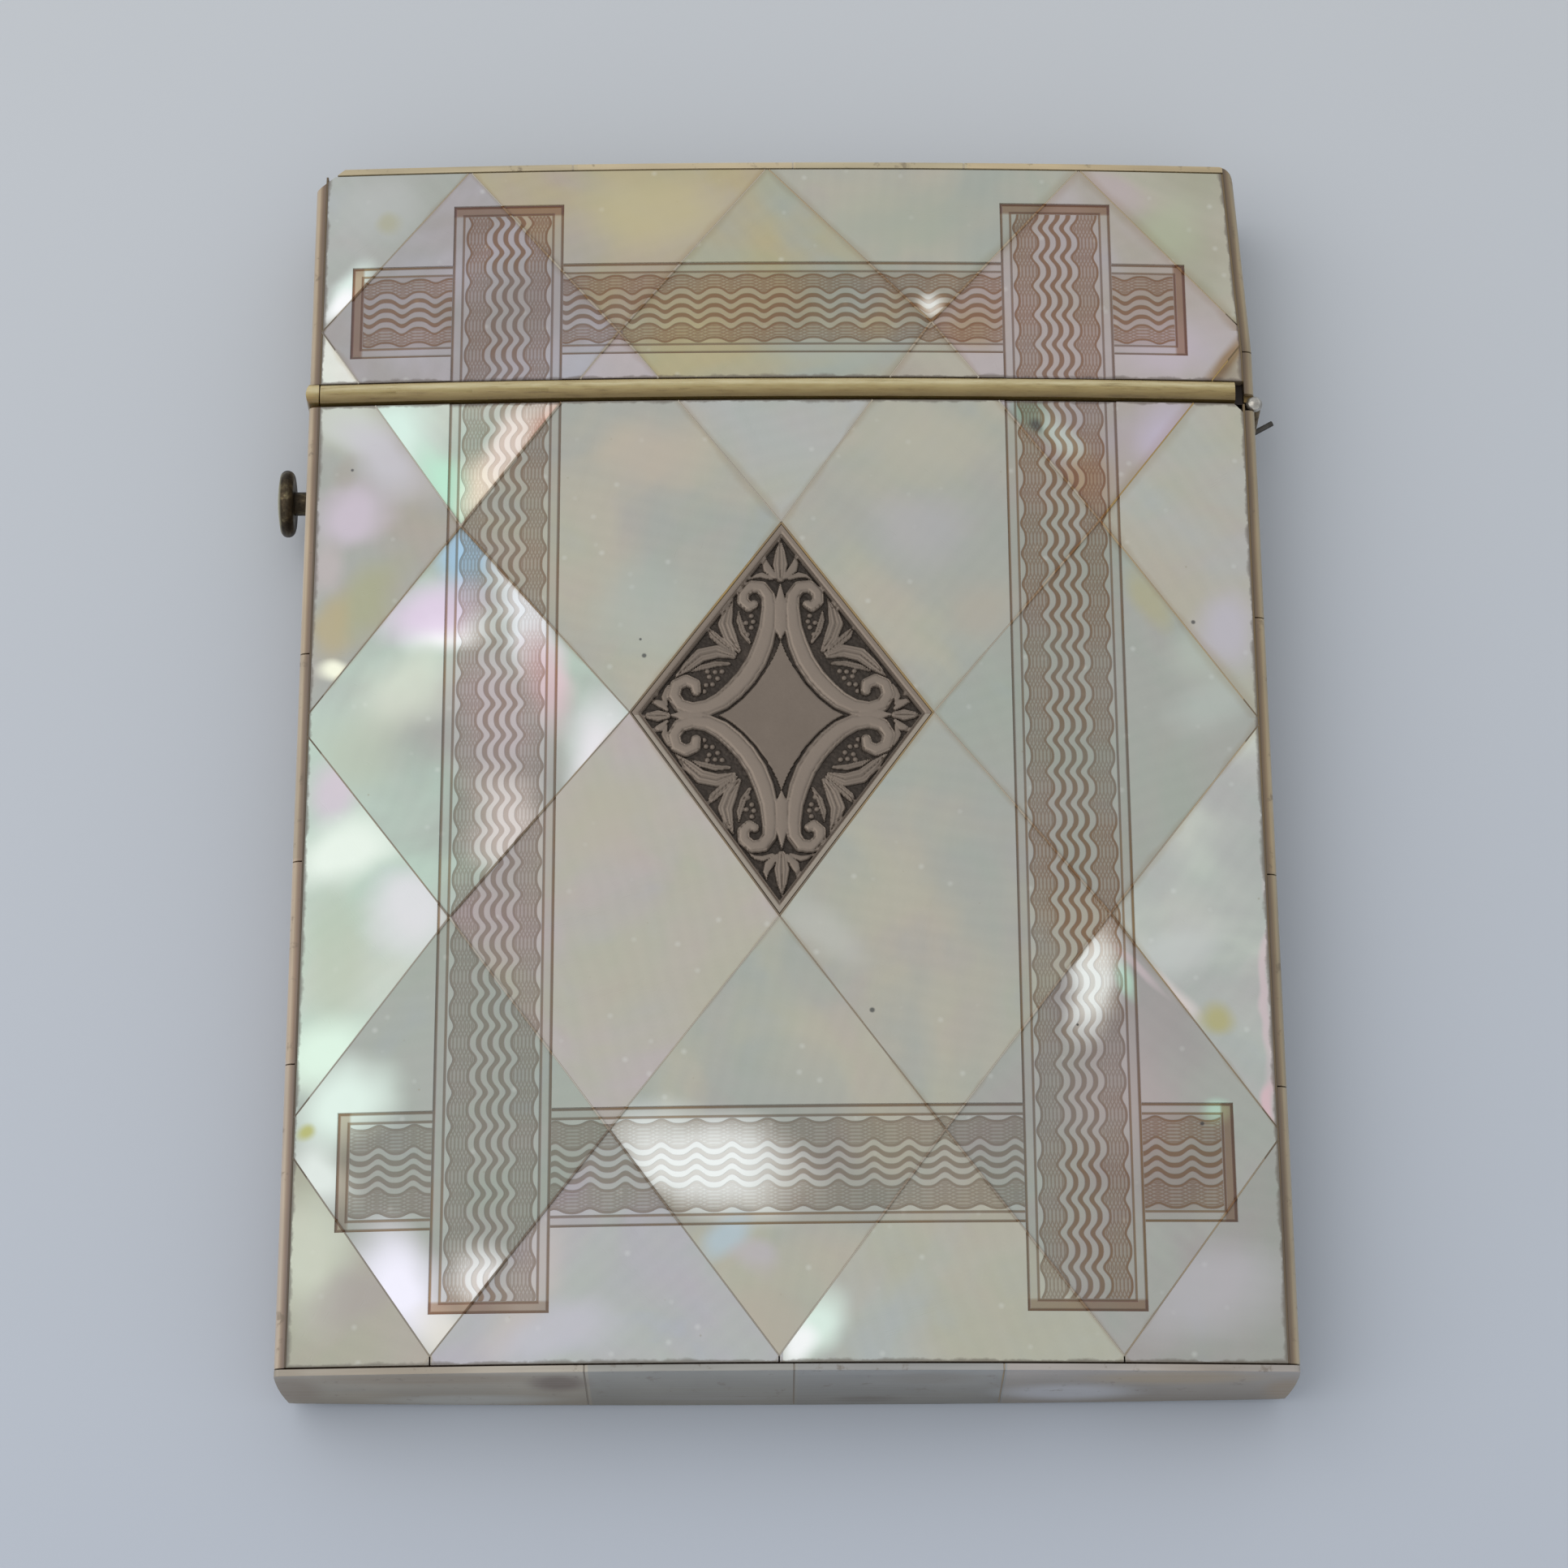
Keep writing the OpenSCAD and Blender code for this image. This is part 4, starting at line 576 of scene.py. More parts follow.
    # the dark border colour: dirt at the sides and the foot, painted shade at the mouth and the rim
    colour = addNode(tree, "Mix", {0: s["dirt"], 6: colour, 7: look["dirt"]}, **rgba)
    colour = addNode(tree, "Mix", {0: s["stained"], 6: colour, 7: look["seamStain"]}, **multiplied)
    swell = addNode(tree, "Bump", {"Height": shell.outputs["Swell"], "Strength": 0.6,
                                   "Distance": look["swell"]})
    relief = addNode(tree, "Bump", {"Height": shell.outputs["Grain"], "Strength": 0.4,
                                    "Distance": look["grain"], "Normal": swell})
    if engraved:
        cut = addNode(tree, "Group", [colour], node_tree=strapTree)
        colour = cut.outputs["Colour"]
        relief = addNode(tree, "Bump", {"Height": cut.outputs["Cut"], "Strength": 1.0,
                                        "Distance": look["cutDepth"], "Normal": relief}, invert=True)
    finishMaterial(tree, {"Base Color": colour, "Roughness": s["rough"], "Normal": relief, **look["gloss"]})
    return material


def wear(material, *names):
    for name in names:
        for slot in nodes[name].material_slots:
            slot.material = material


for k in range(6):
    row = f"body{k}"
    wear(nacre(f"mother_of_pearl_row{k}", k, tones[row], paintedLightAndTints[row], 0.37 * k, True, pits.get(row, ())),
         f"body_front_pearl_{k}")
    wear(nacre(f"mother_of_pearl_back{k}", k, tones[row][::-1], [], 0.31 * k + 5, False),
         f"body_back_pearl_{k}")
for k in (4, 5, 6):
    row = f"lid{k}"
    wear(nacre(f"mother_of_pearl_lid{k}", k, tones[row], paintedLightAndTints[row], 0.43 * k + 9, True),
         f"lid_front_pearl_{k}")
    wear(nacre(f"mother_of_pearl_lid_back{k}", k, tones[row][::-1], [], 0.29 * k + 13, False),
         f"lid_back_pearl_{k}")
print("pearl veneer ready")

# Glue in the seams

glue = {
    "wide": 0.16, "thin": 0.10, "under": 0.012, "deep": 0.6,  # mm; thin is for the seams between strips
    "steps": 12,
    "foot": {"seams": (-15, 0.5, 16), "low": 0.02, "high": 0.48, "age": 0.8},
    "top": {"seams": (-17, 1, 15), "low": 101.12, "high": 101.58, "age": 0.4},
    "clean": "#b6b2a8", "aged": [(0.30, "#6b6156"), (0.48, "#83725a"), (0.70, "#a18652")],
    "dirt": "#564a3c", "dirtX": 36.0, "dirtShare": 0.75,  # along the two borders
}

# Old animal glue, gone brown and full of dirt: a dull line between the pale lozenges
glueMaterial, tree, place, s = newMaterial("aged_hide_glue")
s["patch"] = addNode(tree, "TexNoise", {"Vector": place, "Scale": 0.10, "Detail": 4.0, "Roughness": 0.6})
addSums(tree, s, [
    *topRight, ("ochre", "+", "patch", "upRight"),
    ("xFar", "abs", "x"), ("border", ">", "xFar", glue["dirtX"]),
    ("dirty", "*", "border", glue["dirtShare"]), ("onFront", ">", "z", 0.0)])
tone = addNode(tree, "ValToRGB", [s["ochre"]], stops=glue["aged"])
age = addNode(tree, "Attribute", attribute_name="age").outputs["Fac"]
tone = addNode(tree, "Mix", {0: age, 6: glue["clean"], 7: tone}, **rgba)
tone = addNode(tree, "Mix", {0: s["dirty"], 6: tone, 7: glue["dirt"]}, **rgba)
engraved = addNode(tree, "Group", [tone], node_tree=strapTree)  # the straps were cut across the seams too
tone = addNode(tree, "Mix", {0: s["onFront"], 6: tone, 7: engraved.outputs["Colour"]}, **rgba)
finishMaterial(tree, {"Base Color": tone, "Roughness": 0.7})

seamTree = bpy.data.node_groups.new("seamGlue", "GeometryNodeTree")
seamTree.interface.new_socket("Lines", in_out="INPUT", socket_type="NodeSocketGeometry")
for name, value in (("Width", glue["wide"] * mm), ("Depth", glue["deep"] * mm)):
    seamTree.interface.new_socket(name, in_out="INPUT", socket_type="NodeSocketFloat").default_value = value
seamTree.interface.new_socket("Glue", in_out="OUTPUT", socket_type="NodeSocketGeometry")
seamIn = seamTree.nodes.new("NodeGroupInput")
path = addNode(seamTree, "MeshToCurve", [seamIn.outputs["Lines"]])
section = addNode(seamTree, "CurvePrimitiveQuadrilateral", {"Width": seamIn.outputs["Width"],
                                                            "Height": seamIn.outputs["Depth"]})
solid = addNode(seamTree, "CurveToMesh", {"Curve": path, "Profile Curve": section, "Fill Caps": True})
real = addNode(seamTree, "RealizeInstances", [solid])
made = addNode(seamTree, "SetMaterial", {"Geometry": real, "Material": glueMaterial})
seamOut = seamTree.nodes.new("NodeGroupOutput")
seamTree.links.new(made.outputs[0], seamOut.inputs[0])


def clipLine(a, b, low, high):  # the part of a line that lies between two corners, if any
    near, far = 0.0, 1.0
    for axis in (0, 1):
        run = b[axis] - a[axis]
        if abs(run) < 1e-9:
            if not low[axis] <= a[axis] <= high[axis]:
                return None
            continue
        ends = sorted(((low[axis] - a[axis]) / run, (high[axis] - a[axis]) / run))
        near, far = max(near, ends[0]), min(far, ends[1])
    if near >= far:
        return None
    return [(a[0] + (b[0] - a[0]) * t, a[1] + (b[1] - a[1]) * t) for t in (near, far)]


borderX = (case["innerX"] + case["pearlX"]) / 2  # the glue line between the face and the side strips


def sideX(x, y, lid):  # the lid's right border leans in
    return min(x, borderX - case["lean"] * max(0, y - case["leanY"])) if lid else x


def seamLines(y0, y1):  # every seam between lozenges from y0 to y1 and how aged it is, and the two borders
    lines = []
    for lower, higher, ages in zip(crossings, crossings[1:], seamAges):
        for (a, b), age in zip(seamPairs(lower, higher), ages):
            line = clipLine(a, b, (-case["innerX"], y0), (case["innerX"], y1))
            if line:
                lines.append((line, age))
    return lines + [([(x, y0), (x, y1)], 1.0) for x in (-borderX, borderX)]


def layGlue(name, y0, y1, side, body):
    points, edges, ages = [], [], []
    for ((ax, ay), (bx, by)), age in seamLines(y0, y1):
        ages += [age] * (glue["steps"] + 1)
        for n in range(glue["steps"] + 1):
            t = n / glue["steps"]
            x, y = ax + (bx - ax) * t, ay + (by - ay) * t
            x = sideX(x, y, body == "lid")
            points.append((x * mm, y * mm, side * (faceZ(x) - glue["under"] - glue["deep"] / 2) * mm))
            if n:
                edges.append((len(points) - 2, len(points) - 1))
    mesh = bpy.data.meshes.new(name + "Lines")
    mesh.from_pydata(points, edges, [])
    addAttribute(mesh, "age", ages)
    lines = newObject(name + "Lines", mesh)
    lines.modifiers.new("glue", "NODES").node_group = seamTree
    solidMesh = bpy.data.meshes.new_from_object(lines.evaluated_get(bpy.context.evaluated_depsgraph_get()))
    lines.modifiers.clear()
    bpy.data.objects.remove(lines)
    piece = newObject(name, solidMesh)
    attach(piece, body)


boxSides = ((0, 1, 3, 2), (4, 6, 7, 5), (0, 4, 5, 1), (2, 3, 7, 6), (0, 2, 6, 4), (1, 5, 7, 3))


def fillSeams(name, row, body):  # glue between the strips across the foot or the top
    points, faces = [], []
    for x in row["seams"]:
        start, reach = len(points), faceZ(x) - glue["under"]
        points += [((x + i * glue["thin"] / 2) * mm, y * mm, k * reach * mm)
                   for i in (-1, 1) for y in (row["low"], row["high"]) for k in (-1, 1)]
        faces += [[start + n for n in face] for face in boxSides]
    piece = newPiece(name, points, faces, glueMaterial, body, smooth=False)
    addAttribute(piece.data, "age", [row["age"]] * len(points))


layGlue("body_front_glue", case["footY"], case["mouthY"], 1, "body")
layGlue("body_back_glue", case["footY"], case["mouthY"], -1, "body")
layGlue("lid_front_glue", case["lidY"], case["topY"], 1, "lid")
layGlue("lid_back_glue", case["lidY"], case["topY"], -1, "lid")
fillSeams("foot_seam_glue", glue["foot"], "body")
fillSeams("top_seam_glue", glue["top"], "lid")
print("seam glue ready")

# The silver plaque

plaque = {
    "corners": ((-12.01, 52.79), (-0.4, 35.76), (11.71, 52.69), (-0.1, 69.09)),  # left, foot, right, top
    "inset": 0.9925,
    "steps": 260,
    "deep": 0.8,
    "ground": 0.34,  # mm under the face
    "middle": (-0.2, 52.55),
    "field": (5.0, 6.6, 0.75), "fieldRise": 0.17,  # the bare four-pointed middle: reaches and power
    "frame": 0.72, "frameRise": 0.32, "grooveDeep": 0.10,
    "cutDeep": 0.16, "vein": 0.45, "sideVein": 0.25, "ribbonBead": 0.28, "frameLine": 0.35,
    # the last colour is a painted highlight for the lower sides of the frame
    "tones": [(0.0, "#3a332d"), (0.14, "#544a42"), (0.42, "#73685e"), (0.9, "#85796e")], "rubbed": "#aca598",
}
# Strokes in the upper right quarter, as (across, up, half width); the other quarters mirror it
strokes = {
    "ribbon": (0.31, [(0.88, 9.1, 0.66), (1.00, 7.5, 0.74), (1.36, 6.05, 0.82), (1.90, 4.60, 0.84),
                      (2.74, 3.20, 0.84), (3.66, 2.12, 0.84), (4.62, 1.24, 0.80), (5.70, 0.66, 0.72),
                      (6.90, 0.52, 0.62), (7.90, 0.86, 0.58), (8.38, 1.70, 0.56), (8.16, 2.60, 0.54),
                      (7.42, 2.98, 0.52), (6.72, 2.66, 0.48), (6.62, 2.05, 0.42)]),
    "upperRibbon": (0.31, [(1.00, 7.5, 0.74), (0.88, 9.1, 0.66), (0.96, 10.15, 0.60), (1.46, 10.92, 0.56),
                           (2.30, 11.02, 0.54), (2.92, 10.46, 0.52), (2.96, 9.74, 0.50), (2.50, 9.26, 0.46),
                           (2.10, 9.46, 0.38)]),
    "tallLeaf": (0.25, [(3.30, 5.5, 0.20), (3.95, 6.6, 0.56), (4.36, 7.8, 0.60), (4.12, 9.0, 0.42),
                        (3.75, 9.9, 0.08)]),
    "longLeaf": (0.25, [(3.70, 5.0, 0.20), (5.00, 5.45, 0.56), (6.25, 5.15, 0.60), (7.30, 4.2, 0.46),
                        (8.20, 3.3, 0.08)]),
    "middleLeaf": (0.21, [(3.50, 5.2, 0.12), (4.50, 6.1, 0.34), (5.25, 6.8, 0.36), (5.75, 7.5, 0.08)]),
    "innerLeaf": (0.20, [(2.45, 6.2, 0.14), (2.95, 7.1, 0.26), (3.25, 8.1, 0.24), (3.30, 8.9, 0.06)]),
    "lowLeaf": (0.20, [(4.05, 4.4, 0.14), (5.10, 4.40, 0.26), (6.20, 4.10, 0.24), (7.0, 3.75, 0.06)]),
    "stem": (0.29, [(0.0, 6.5, 0.10), (0.0, 7.3, 0.46), (0.0, 9.2, 0.56), (0.0, 10.3, 0.30),
                    (0.0, 11.2, 0.06)]),
    "yoke": (0.29, [(5.9, 0.0, 0.10), (6.4, 0.0, 0.34), (7.6, 0.0, 0.46), (8.5, 0.0, 0.12)]),
    "topBud": (0.27, [(0.0, 11.7, 0.34), (0.0, 12.9, 0.62), (0.0, 14.0, 0.42), (0.0, 15.1, 0.06)]),
    "topLobe": (0.24, [(0.40, 11.8, 0.20), (0.98, 12.5, 0.38), (1.22, 13.1, 0.26), (1.20, 13.7, 0.06)]),
    "topCurl": (0.21, [(0.70, 11.7, 0.16), (1.45, 12.0, 0.26), (2.05, 11.9, 0.18), (2.5, 11.6, 0.05)]),
    "sideBud": (0.27, [(8.9, 0.0, 0.30), (9.6, 0.0, 0.50), (10.3, 0.0, 0.32), (10.8, 0.0, 0.06)]),
    "sideLobe": (0.24, [(8.9, 0.5, 0.16), (9.4, 1.0, 0.34), (9.85, 1.2, 0.22), (10.1, 1.1, 0.06)]),
    "sideCurl": (0.21, [(8.95, 0.9, 0.14), (9.10, 1.6, 0.26), (8.95, 2.2, 0.18), (8.75, 2.6, 0.05)]),
}
beads = {
    "rise": 0.17, "size": 0.23,
    "places": [(2.30, 8.5), (2.72, 7.9), (2.30, 7.5), (2.60, 6.9), (2.15, 8.0), (4.60, 3.75), (5.15, 3.70),
               (4.95, 3.15), (5.60, 3.30), (5.35, 2.65), (5.85, 2.60), (5.75, 3.75), (6.00, 2.05),
               (1.9, 13.0), (9.7, 1.8)],
}


def strokeAway(x, y, points):  # how far off the stroke's middle, in half widths
    away = np.full_like(x, 9.0)
    for (ax, ay, aw), (bx, by, bw) in zip(points, points[1:]):
        dx, dy = bx - ax, by - ay
        t = np.clip(((x - ax) * dx + (y - ay) * dy) / (dx * dx + dy * dy), 0, 1)
        away = np.minimum(away, np.hypot(x - ax - t * dx, y - ay - t * dy) / (aw + (bw - aw) * t))
    return away


def lineAt(away, place, width):
    return np.exp(-((away - place) / width) ** 2)


def reliefHeight(x, y, edge):  # mm over the ground, at x and y from the middle, edge mm from the border
    ax, ay = np.abs(x), np.abs(y)
    wide, high, power = plaque["field"]
    height = np.where((ax / wide) ** power + (ay / high) ** power < 1, plaque["fieldRise"], 0.0)
    for px, py in beads["places"]:
        bead = np.clip(1 - ((ax - px) ** 2 + (ay - py) ** 2) / beads["size"] ** 2, 0, 1)
        height = np.maximum(height, beads["rise"] * np.sqrt(bead))
    aways = {name: strokeAway(ax, ay, points) for name, (rise, points) in strokes.items()}
    for name in ("ribbon", "upperRibbon"):  # a cut line round the ribbons
        height = height - plaque["cutDeep"] * lineAt(aways[name], 1.10, 0.10)
    for name, (rise, points) in strokes.items():
        away = aways[name]
        body = np.sqrt(np.clip(1 - away * away, 0, 1))
        stroke = rise * np.minimum(body * 1.6, 1 - 0.18 * (1 - body))  # worn flat on top
        if "Leaf" in name or "Bud" in name:  # a vein down the middle and one each side
            veins = plaque["vein"] * lineAt(away, 0, 0.16) + plaque["sideVein"] * lineAt(away, 0.55, 0.12)
            stroke = stroke * (1 - veins)
        if "ibbon" in name:  # a bead along each edge
            stroke = stroke * (1 - plaque["ribbonBead"] * lineAt(away, 0.66, 0.09))
        height = np.maximum(height, stroke)
    frameRise = np.clip((plaque["frame"] - edge) / 0.08, 0, 1) * np.clip(edge / 0.06 + 0.4, 0, 1)
    frameRise = plaque["frameRise"] * frameRise * (1 - plaque["frameLine"] * lineAt(edge, 0.50, 0.05))
    groove = plaque["grooveDeep"] * lineAt(edge, plaque["frame"] + 0.12, 0.07)
    return np.maximum(height - groove, frameRise)


def makePlaque():  # its points, its faces, and how high each point stands in shares of the ground's depth
    n = plaque["steps"]
    corner = [np.array(c) for c in plaque["corners"]]
    centre = sum(corner) / 4
    corner = [centre + (c - centre) * plaque["inset"] for c in corner]
    u, v = np.meshgrid(np.linspace(0, 1, n + 1), np.linspace(0, 1, n + 1), indexing="ij")
    x, y = [(corner[0][i] * (1 - u) * (1 - v) + corner[1][i] * u * (1 - v) + corner[2][i] * u * v
             + corner[3][i] * (1 - u) * v) for i in (0, 1)]
    side = np.linalg.norm(corner[1] - corner[0])
    sideAngle = 2 * math.atan2(np.linalg.norm(corner[2] - corner[0]), np.linalg.norm(corner[3] - corner[1]))
    edge = np.minimum(np.minimum(u, 1 - u), np.minimum(v, 1 - v)) * side * math.sin(sideAngle)
    rise = reliefHeight(x - plaque["middle"][0], y - plaque["middle"][1], edge)
    top = np.sqrt(case["faceRadius"] ** 2 - x ** 2) + case["faceCentre"]
    points = np.stack([x, y, top - plaque["ground"] + rise], axis=-1).reshape(-1, 3)
    ring = ([(i, 0) for i in range(n)] + [(n, j) for j in range(n)] + [(i, n) for i in range(n, 0, -1)]
            + [(0, j) for j in range(n, 0, -1)])
    under = np.array([(x[at], y[at], top[at] - plaque["deep"]) for at in ring])
    grid = np.arange((n + 1) ** 2).reshape(n + 1, n + 1)
    squares = np.stack([grid[:-1, :-1], grid[1:, :-1], grid[1:, 1:], grid[:-1, 1:]], axis=-1)
    faces = squares.reshape(-1, 4).tolist()
    start, count = len(points), len(ring)
    for m in range(count):
        after = (m + 1) % count
        faces.append([int(grid[ring[after]]), int(grid[ring[m]]), start + m, start + after])
    faces.append([start + m for m in range(count - 1, -1, -1)])
    shares = np.concatenate([rise.reshape(-1) / plaque["ground"], np.zeros(count)])
    return (np.concatenate([points, under]) * mm).tolist(), faces, shares


# Die-struck sterling silver, dark with tarnish in the ground and rubbed bright on the high places, with a
# painted highlight on the lower sides of the frame
material, tree, place, s = newMaterial("tarnished_silver")
fine = addNode(tree, "TexNoise", {"Vector": place, "Scale": 4.0, "Detail": 3.0, "Roughness": 0.7})
s.update(rise=addNode(tree, "Attribute", attribute_name="rise").outputs["Fac"], fine=fine,
         smoke=addNode(tree, "TexNoise", {"Vector": place, "Scale": 0.35, "Detail": 4.0, "Roughness": 0.6}),
         mat=addNode(tree, "TexVoronoi", {"Vector": place, "Scale": 3.2}).outputs["Distance"])
addSums(tree, s, [
    ("smoked", "*+", "smoke", 0.30, "rise"), ("speckled", "*+", "fine", 0.16, "smoked"),
    ("worn", "-", "speckled", 0.23), ("rough", "linear", "worn", 0.1, 0.9, 0.60, 0.44),
    # painted highlight on the lower sides of the frame
    ("rubbed", "linear", "rise", 0.916, 0.94, 0.0, 0.5), ("lower", "<", "y", plaque["middle"][1]),
    ("rubbedLow", "*", "rubbed", "lower"),
    ("low", "linear", "rise", 0.05, 0.2, 1.0, 0.0), ("matted", "*", "mat", "low")])
tone = addNode(tree, "ValToRGB", [s["worn"]], stops=plaque["tones"])
tone = addNode(tree, "Mix", {0: s["rubbedLow"], 6: tone, 7: plaque["rubbed"]}, **rgba)
bump = addNode(tree, "Bump", {"Height": s["matted"], "Strength": 0.8, "Distance": 0.00012}, invert=True)
scratch = addNode(tree, "Bump", {"Height": fine, "Strength": 0.35, "Distance": 0.00003, "Normal": bump})
finishMaterial(tree, {"Base Color": tone, "Metallic": 0.6, "Roughness": s["rough"], "Normal": scratch})
points, faces, shares = makePlaque()
plaquePiece = newPiece("plaque_relief", points, faces, material, "body")
addAttribute(plaquePiece.data, "rise", shares)
plaquePiece.data.set_sharp_from_angle(angle=math.radians(50))
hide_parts("plaque")
print("silver plaque ready")

# Strips, bone, wood, card and metal

strips = {
    "from": -48, "long": 120,  # mm, the ramp along a strip, with one colour from each seam to the next
    "left": [(-48, "#b8ada2"), (24.3, "#baac9c"), (40.8, "#b0a595"), (58.3, "#b5a896")],
    "right": [(-48, "#a59c8a"), (22.2, "#9d937e"), (39.4, "#a3977f"), (61.1, "#9b907a")],
    "foot": [(-48, "#a39c90"), (-15, "#92918c"), (0.5, "#8e8e8c"), (16, "#9d9792")],
    "top": [(-48, "#b5ab95"), (-17, "#bbaf97"), (1, "#b1a891"), (15, "#b7a98f")],
    # painted shade and highlight, darker to bright: from the glue line outwards along the sides, up the
    # thickness across the foot and the top
    "sideShadeFades": [(0.0, "#8a7c76"), (0.30, "#b3a294"), (0.62, "#eee5d6"), (1.0, "#ffffff")],
    "footShadeFades": [(0.10, "#c9c2b4"), (0.45, "#dcd8cf"), (0.80, "#f4f2ee"), (0.95, "#ffffff")],
    "topShadeFades": [(0.10, "#b8ad96"), (0.80, "#dcd3bd"), (0.97, "#fffaec")],
    # stains and clear places on the foot: x, z, half length, half width, colour, strength
    "footPatches": [(-27.0, 3.0, 13.0, 2.4, "#85755f", 0.7), (-17.0, 1.6, 3.0, 3.2, "#5e4b3a", 0.85),
                    (-37.0, 0.0, 3.0, 5.5, "#76654f", 0.8), (-24.0, -3.2, 9.0, 2.0, "#a7a8a4", 0.6),
                    (-6.0, -2.6, 7.0, 1.8, "#7f7b74", 0.6), (6.0, -3.4, 3.6, 1.2, "#5d554a", 0.7),
                    (11.0, 2.6, 5.0, 2.2, "#7c766c", 0.6), (21.0, -1.6, 7.0, 3.2, "#b9bcc4", 0.6),
                    (29.0, 2.4, 9.0, 2.6, "#9f8c6e", 0.7), (37.4, -1.0, 2.4, 4.5, "#8a775d", 0.8)],
    "spot": "#5f5140", "layer": 0.00005,
}


# Narrow strips sawn from the shell's edge, with its layers along their length
def stripNacre(name, axis, stops, shadeFades, patches=()):
    start, long = strips["from"], strips["long"]
    material, tree, place, s = newMaterial(name)
    stretch = (0.05, 2.2, 2.2) if axis == "x" else (2.2, 0.05, 2.2)
    layers = addNode(tree, "Mapping", {"Vector": place, "Scale": stretch})
    streak = addNode(tree, "TexNoise", {"Vector": layers, "Scale": 1.0, "Detail": 4.0, "Roughness": 0.6})
    cloud = addNode(tree, "TexNoise", {"Vector": place, "Scale": 0.12, "Detail": 3.0})
    spot = addNode(tree, "TexNoise", {"Vector": place, "Scale": 0.55, "Detail": 4.0, "Roughness": 0.7})
    s.update(streak=streak, cloud=cloud, spot=spot)
    addSums(tree, s, [
        ("share", "*+", axis, 1 / long, -start / long),
        ("streakLight", "*+", "streak", 0.6, 0.42), ("light", "*+", "cloud", 0.55, "streakLight"),
        *sideways, ("outward", "-", "xFar", case["innerX"]),
        ("across", "/", "outward", 0.8), ("height", "*+", "z", 0.1, 0.5),
        ("spots", "linear", "spot", 0.60, 0.68, 0.0, 0.55),
        ("rough", "linear", "streak", 0.3, 0.7, 0.28, 0.42)])
    tone = addNode(tree, "ValToRGB", [s["share"]], shape="CONSTANT",
                   stops=[((p - start) / long, c) for p, c in stops])
    lit = addNode(tree, "VectorMath", {0: tone, "Scale": s["light"]}, operation="SCALE")
    # painted shade and highlight across the strip
    paintedShade = addNode(tree, "ValToRGB", [s["height" if axis == "x" else "across"]], stops=shadeFades)
    colour = addNode(tree, "Mix", {0: 1.0, 6: lit, 7: paintedShade}, **multiplied)
    for x, z, halfLong, halfWide, tint, strength in patches:
        s["glow"] = softSpot(tree, place, (x, 0, z), (halfLong, 10, halfWide))
        addSums(tree, s, [("soft", "smoothstep", "glow", 0.0, 0.7, 0.0, strength)])
        colour = addNode(tree, "Mix", {0: s["soft"], 6: colour, 7: tint}, **rgba)
    colour = addNode(tree, "Mix", {0: s["spots"], 6: colour, 7: strips["spot"]}, **rgba)
    bump = addNode(tree, "Bump", {"Height": streak, "Strength": 0.4, "Distance": strips["layer"]})
    finishMaterial(tree, {"Base Color": colour, "Roughness": s["rough"], "Normal": bump, "IOR": 1.53,
                          "Coat Weight": 0.15})
    return material


for side in ("left", "right"):
    wear(stripNacre(f"pearl_strip_{side}", "y", strips[side], strips["sideShadeFades"]),
         f"body_{side}_strips", f"lid_{side}_strip")
wear(stripNacre("pearl_strip_foot", "x", strips["foot"], strips["footShadeFades"], strips["footPatches"]),
     "foot_strips")
wear(stripNacre("pearl_strip_top", "x", strips["top"], strips["topShadeFades"]), "top_strips")

# Turned and scraped bone, yellowed, with the fine dark flecks of its pores along the grain
bone = {
    "footY": 80.25, "high": 1.6,  # mm, the half-round from its underside up
    "tones": [(0.34, "#9a8a66"), (0.45, "#bdb08c"), (0.6, "#ccc2a3")],
    "roundShading": [(0.0, "#8d7c58"), (0.25, "#b09f77"), (0.5, "#d3c6a2"), (0.68, "#fffbee"), (0.9, "#f5ecd2"),
                (1.0, "#a5946e")],  # painted shade and highlight across the half-round: browner on the underside, bright along the upper curve
}
material, tree, place, s = newMaterial("polished_bone")
long = addNode(tree, "Mapping", {"Vector": place, "Scale": (0.18, 1.6, 1.6)})
s.update(pores=addNode(tree, "TexNoise", {"Vector": long, "Scale": 1.8, "Detail": 4.0, "Roughness": 0.7}),
         dirt=addNode(tree, "TexNoise", {"Vector": place, "Scale": 0.15, "Detail": 3.0}))
addSums(tree, s, [
    ("pored", "*", "pores", 0.7), ("dirty", "*+", "dirt", 0.3, "pored"),
    ("up", "-", "y", bone["footY"]), ("rise", "/", "up", bone["high"])])
tone = addNode(tree, "ValToRGB", [s["dirty"]], stops=bone["tones"])
# painted shade and highlight of the half-round, by height up the rim
roundShading = addNode(tree, "ValToRGB", [s["rise"]], stops=bone["roundShading"])
worn = addNode(tree, "Mix", {0: 1.0, 6: tone, 7: roundShading}, **multiplied)
bump = addNode(tree, "Bump", {"Height": s["pores"], "Strength": 0.3, "Distance": 0.00004})
finishMaterial(tree, {"Base Color": worn, "Roughness": 0.36, "Normal": bump, "IOR": 1.54,
                      "Subsurface Weight": 0.05})
wear(material, "lid_front_rim", "lid_back_rim", "lid_left_rim")

# Thin mahogany, planed and unpolished: brown with short dark pores up the grain, and painted shadow,
# near-black, at the hinge
mahogany = {
    "tones": [(0.35, "#4a2c1c"), (0.5, "#6d452c"), (0.65, "#84583a")],
    "hingeShadow": "#16130f", "hinge": (37.0, 80.8, 0.0), "reach": (3.0, 3.4, 12.0),
}
material, tree, place, s = newMaterial("planed_mahogany")
grainPlace = addNode(tree, "Mapping", {"Vector": place, "Scale": (1.4, 0.06, 1.4)})
grain = addNode(tree, "TexNoise", {"Vector": grainPlace, "Scale": 2.0, "Detail": 5.0, "Roughness": 0.65})
tone = addNode(tree, "ValToRGB", [grain], stops=mahogany["tones"])
s["near"] = softSpot(tree, place, mahogany["hinge"], mahogany["reach"])
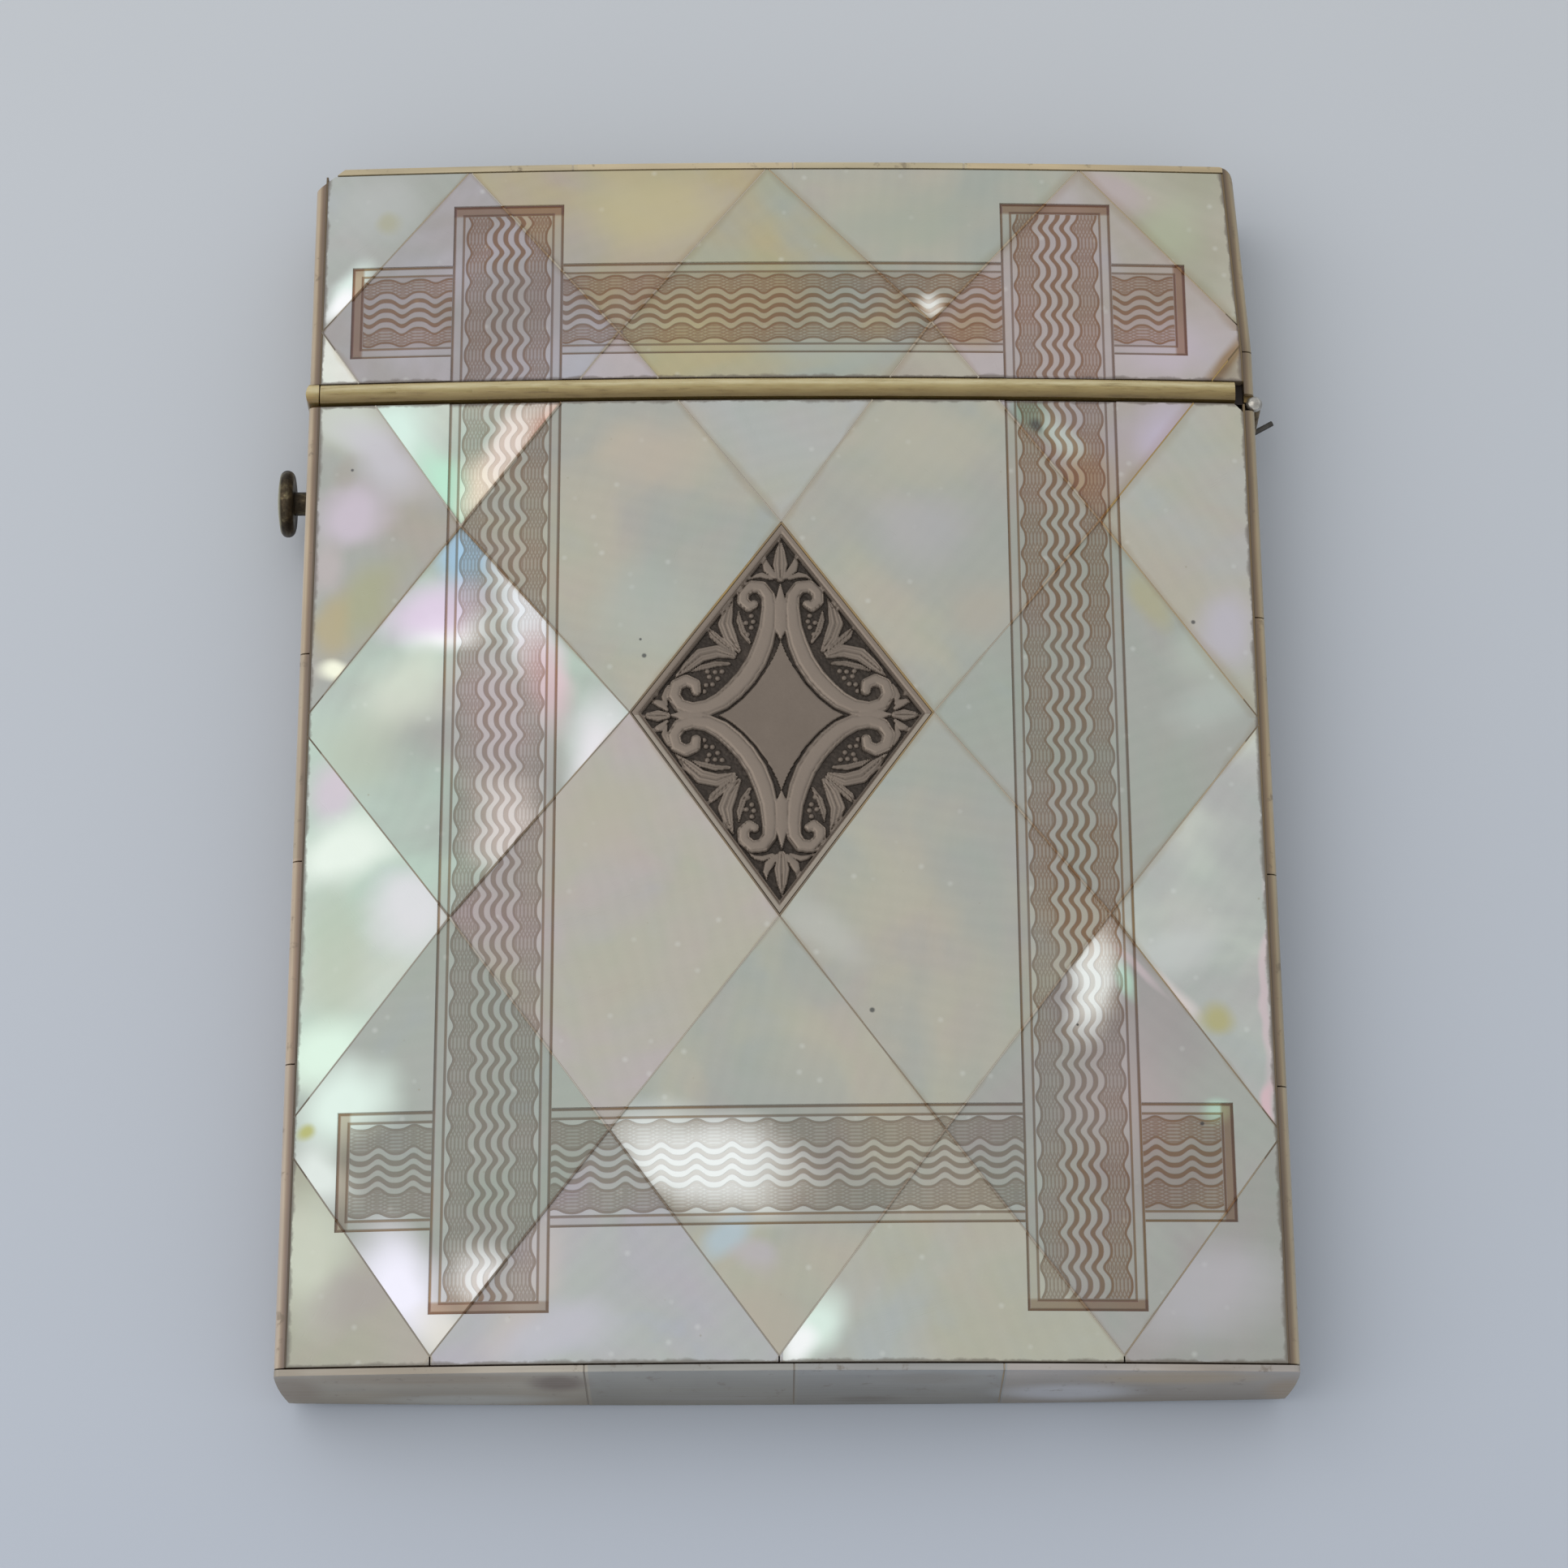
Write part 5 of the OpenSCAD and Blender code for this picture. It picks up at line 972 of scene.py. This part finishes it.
# painted shadow round the hinge
addSums(tree, s, [("greasy", "linear", "near", 0.0, 0.35, 0.0, 0.92)])
tone = addNode(tree, "Mix", {0: s["greasy"], 6: tone, 7: mahogany["hingeShadow"]}, **rgba)
bump = addNode(tree, "Bump", {"Height": grain, "Strength": 0.4, "Distance": 0.00006})
finishMaterial(tree, {"Base Color": tone, "Roughness": 0.6, "Normal": bump})
wear(material, "body_front_board", "body_back_board", "body_left_board", "body_right_board", "foot_board",
     "sleeve_packing", "lid_front_board", "lid_back_board", "lid_left_board", "lid_right_board", "top_board")

# Card lined with watered paper, a worn ivory with a fine laid rib
material, tree, place, s = newMaterial("lined_card")
rib = addNode(tree, "TexWave", {"Vector": place, "Scale": 0.63, "Distortion": 0.6, "Detail": 2.0},
              bands_direction="Y")
blot = addNode(tree, "TexNoise", {"Vector": place, "Scale": 0.12, "Detail": 4.0})
tone = addNode(tree, "ValToRGB", [blot], stops=[(0.35, "#b5a484"), (0.65, "#cfc3a6")])
bump = addNode(tree, "Bump", {"Height": rib, "Strength": 0.35, "Distance": 0.00005})
finishMaterial(tree, {"Base Color": tone, "Roughness": 0.85, "Normal": bump})
wear(material, "sleeve_front", "sleeve_back", "sleeve_left", "sleeve_right", "sleeve_floor")


# Hand-worked metal, browned and rubbed in patches
def browned(name, low, middle, high, rough, axis="z", turns=()):
    material, tree, place, s = newMaterial(name)
    s["patch"] = addNode(tree, "TexNoise", {"Vector": place, "Scale": 0.9, "Detail": 5.0, "Roughness": 0.65})
    tone = addNode(tree, "ValToRGB", [s["patch"]], stops=[(0.34, low), (0.52, middle), (0.68, high)])
    if turns:  # another colour from one place to another along an axis
        start, end, tint = turns
        addSums(tree, s, [("turned", "linear", axis, start, end, 0.0, 0.9)])
        tone = addNode(tree, "Mix", {0: s["turned"], 6: tone, 7: tint}, **rgba)
    addSums(tree, s, [("rough", "linear", "patch", 0.3, 0.7, rough + 0.12, rough - 0.08)])
    fine = addNode(tree, "TexNoise", {"Vector": place, "Scale": 7.0, "Detail": 3.0})
    bump = addNode(tree, "Bump", {"Height": fine, "Strength": 0.3, "Distance": 0.00003})
    finishMaterial(tree, {"Base Color": tone, "Metallic": 0.9, "Roughness": s["rough"], "Normal": bump})
    return material


wear(browned("browned_brass", "#4b3e2c", "#7a6642", "#a08a5c", 0.42), "body_hinge_leaf", "body_hinge_nails",
     "lid_hinge_leaf", "lid_hinge_nails")
wear(browned("spring_brass", "#8a7443", "#b39a5e", "#cdb67c", 0.34), "catch_spring", "catch_nib",
     "catch_keeper", "keeper_nails", "spring_rivets")
wear(browned("worn_silver_pin", "#8f8c86", "#bcb9b2", "#e6e4de", 0.26, "z", (0.5, -0.5, "#2e2b27")),
     "hinge_pin")
# the button's pale crown is a painted highlight
wear(browned("blackened_brass_button", "#2b2620", "#463d30", "#7d7257", 0.40, "x",
             (-40.12, -40.38, "#d8d2b4")), "catch_button")
print("strips, rims and metals ready")
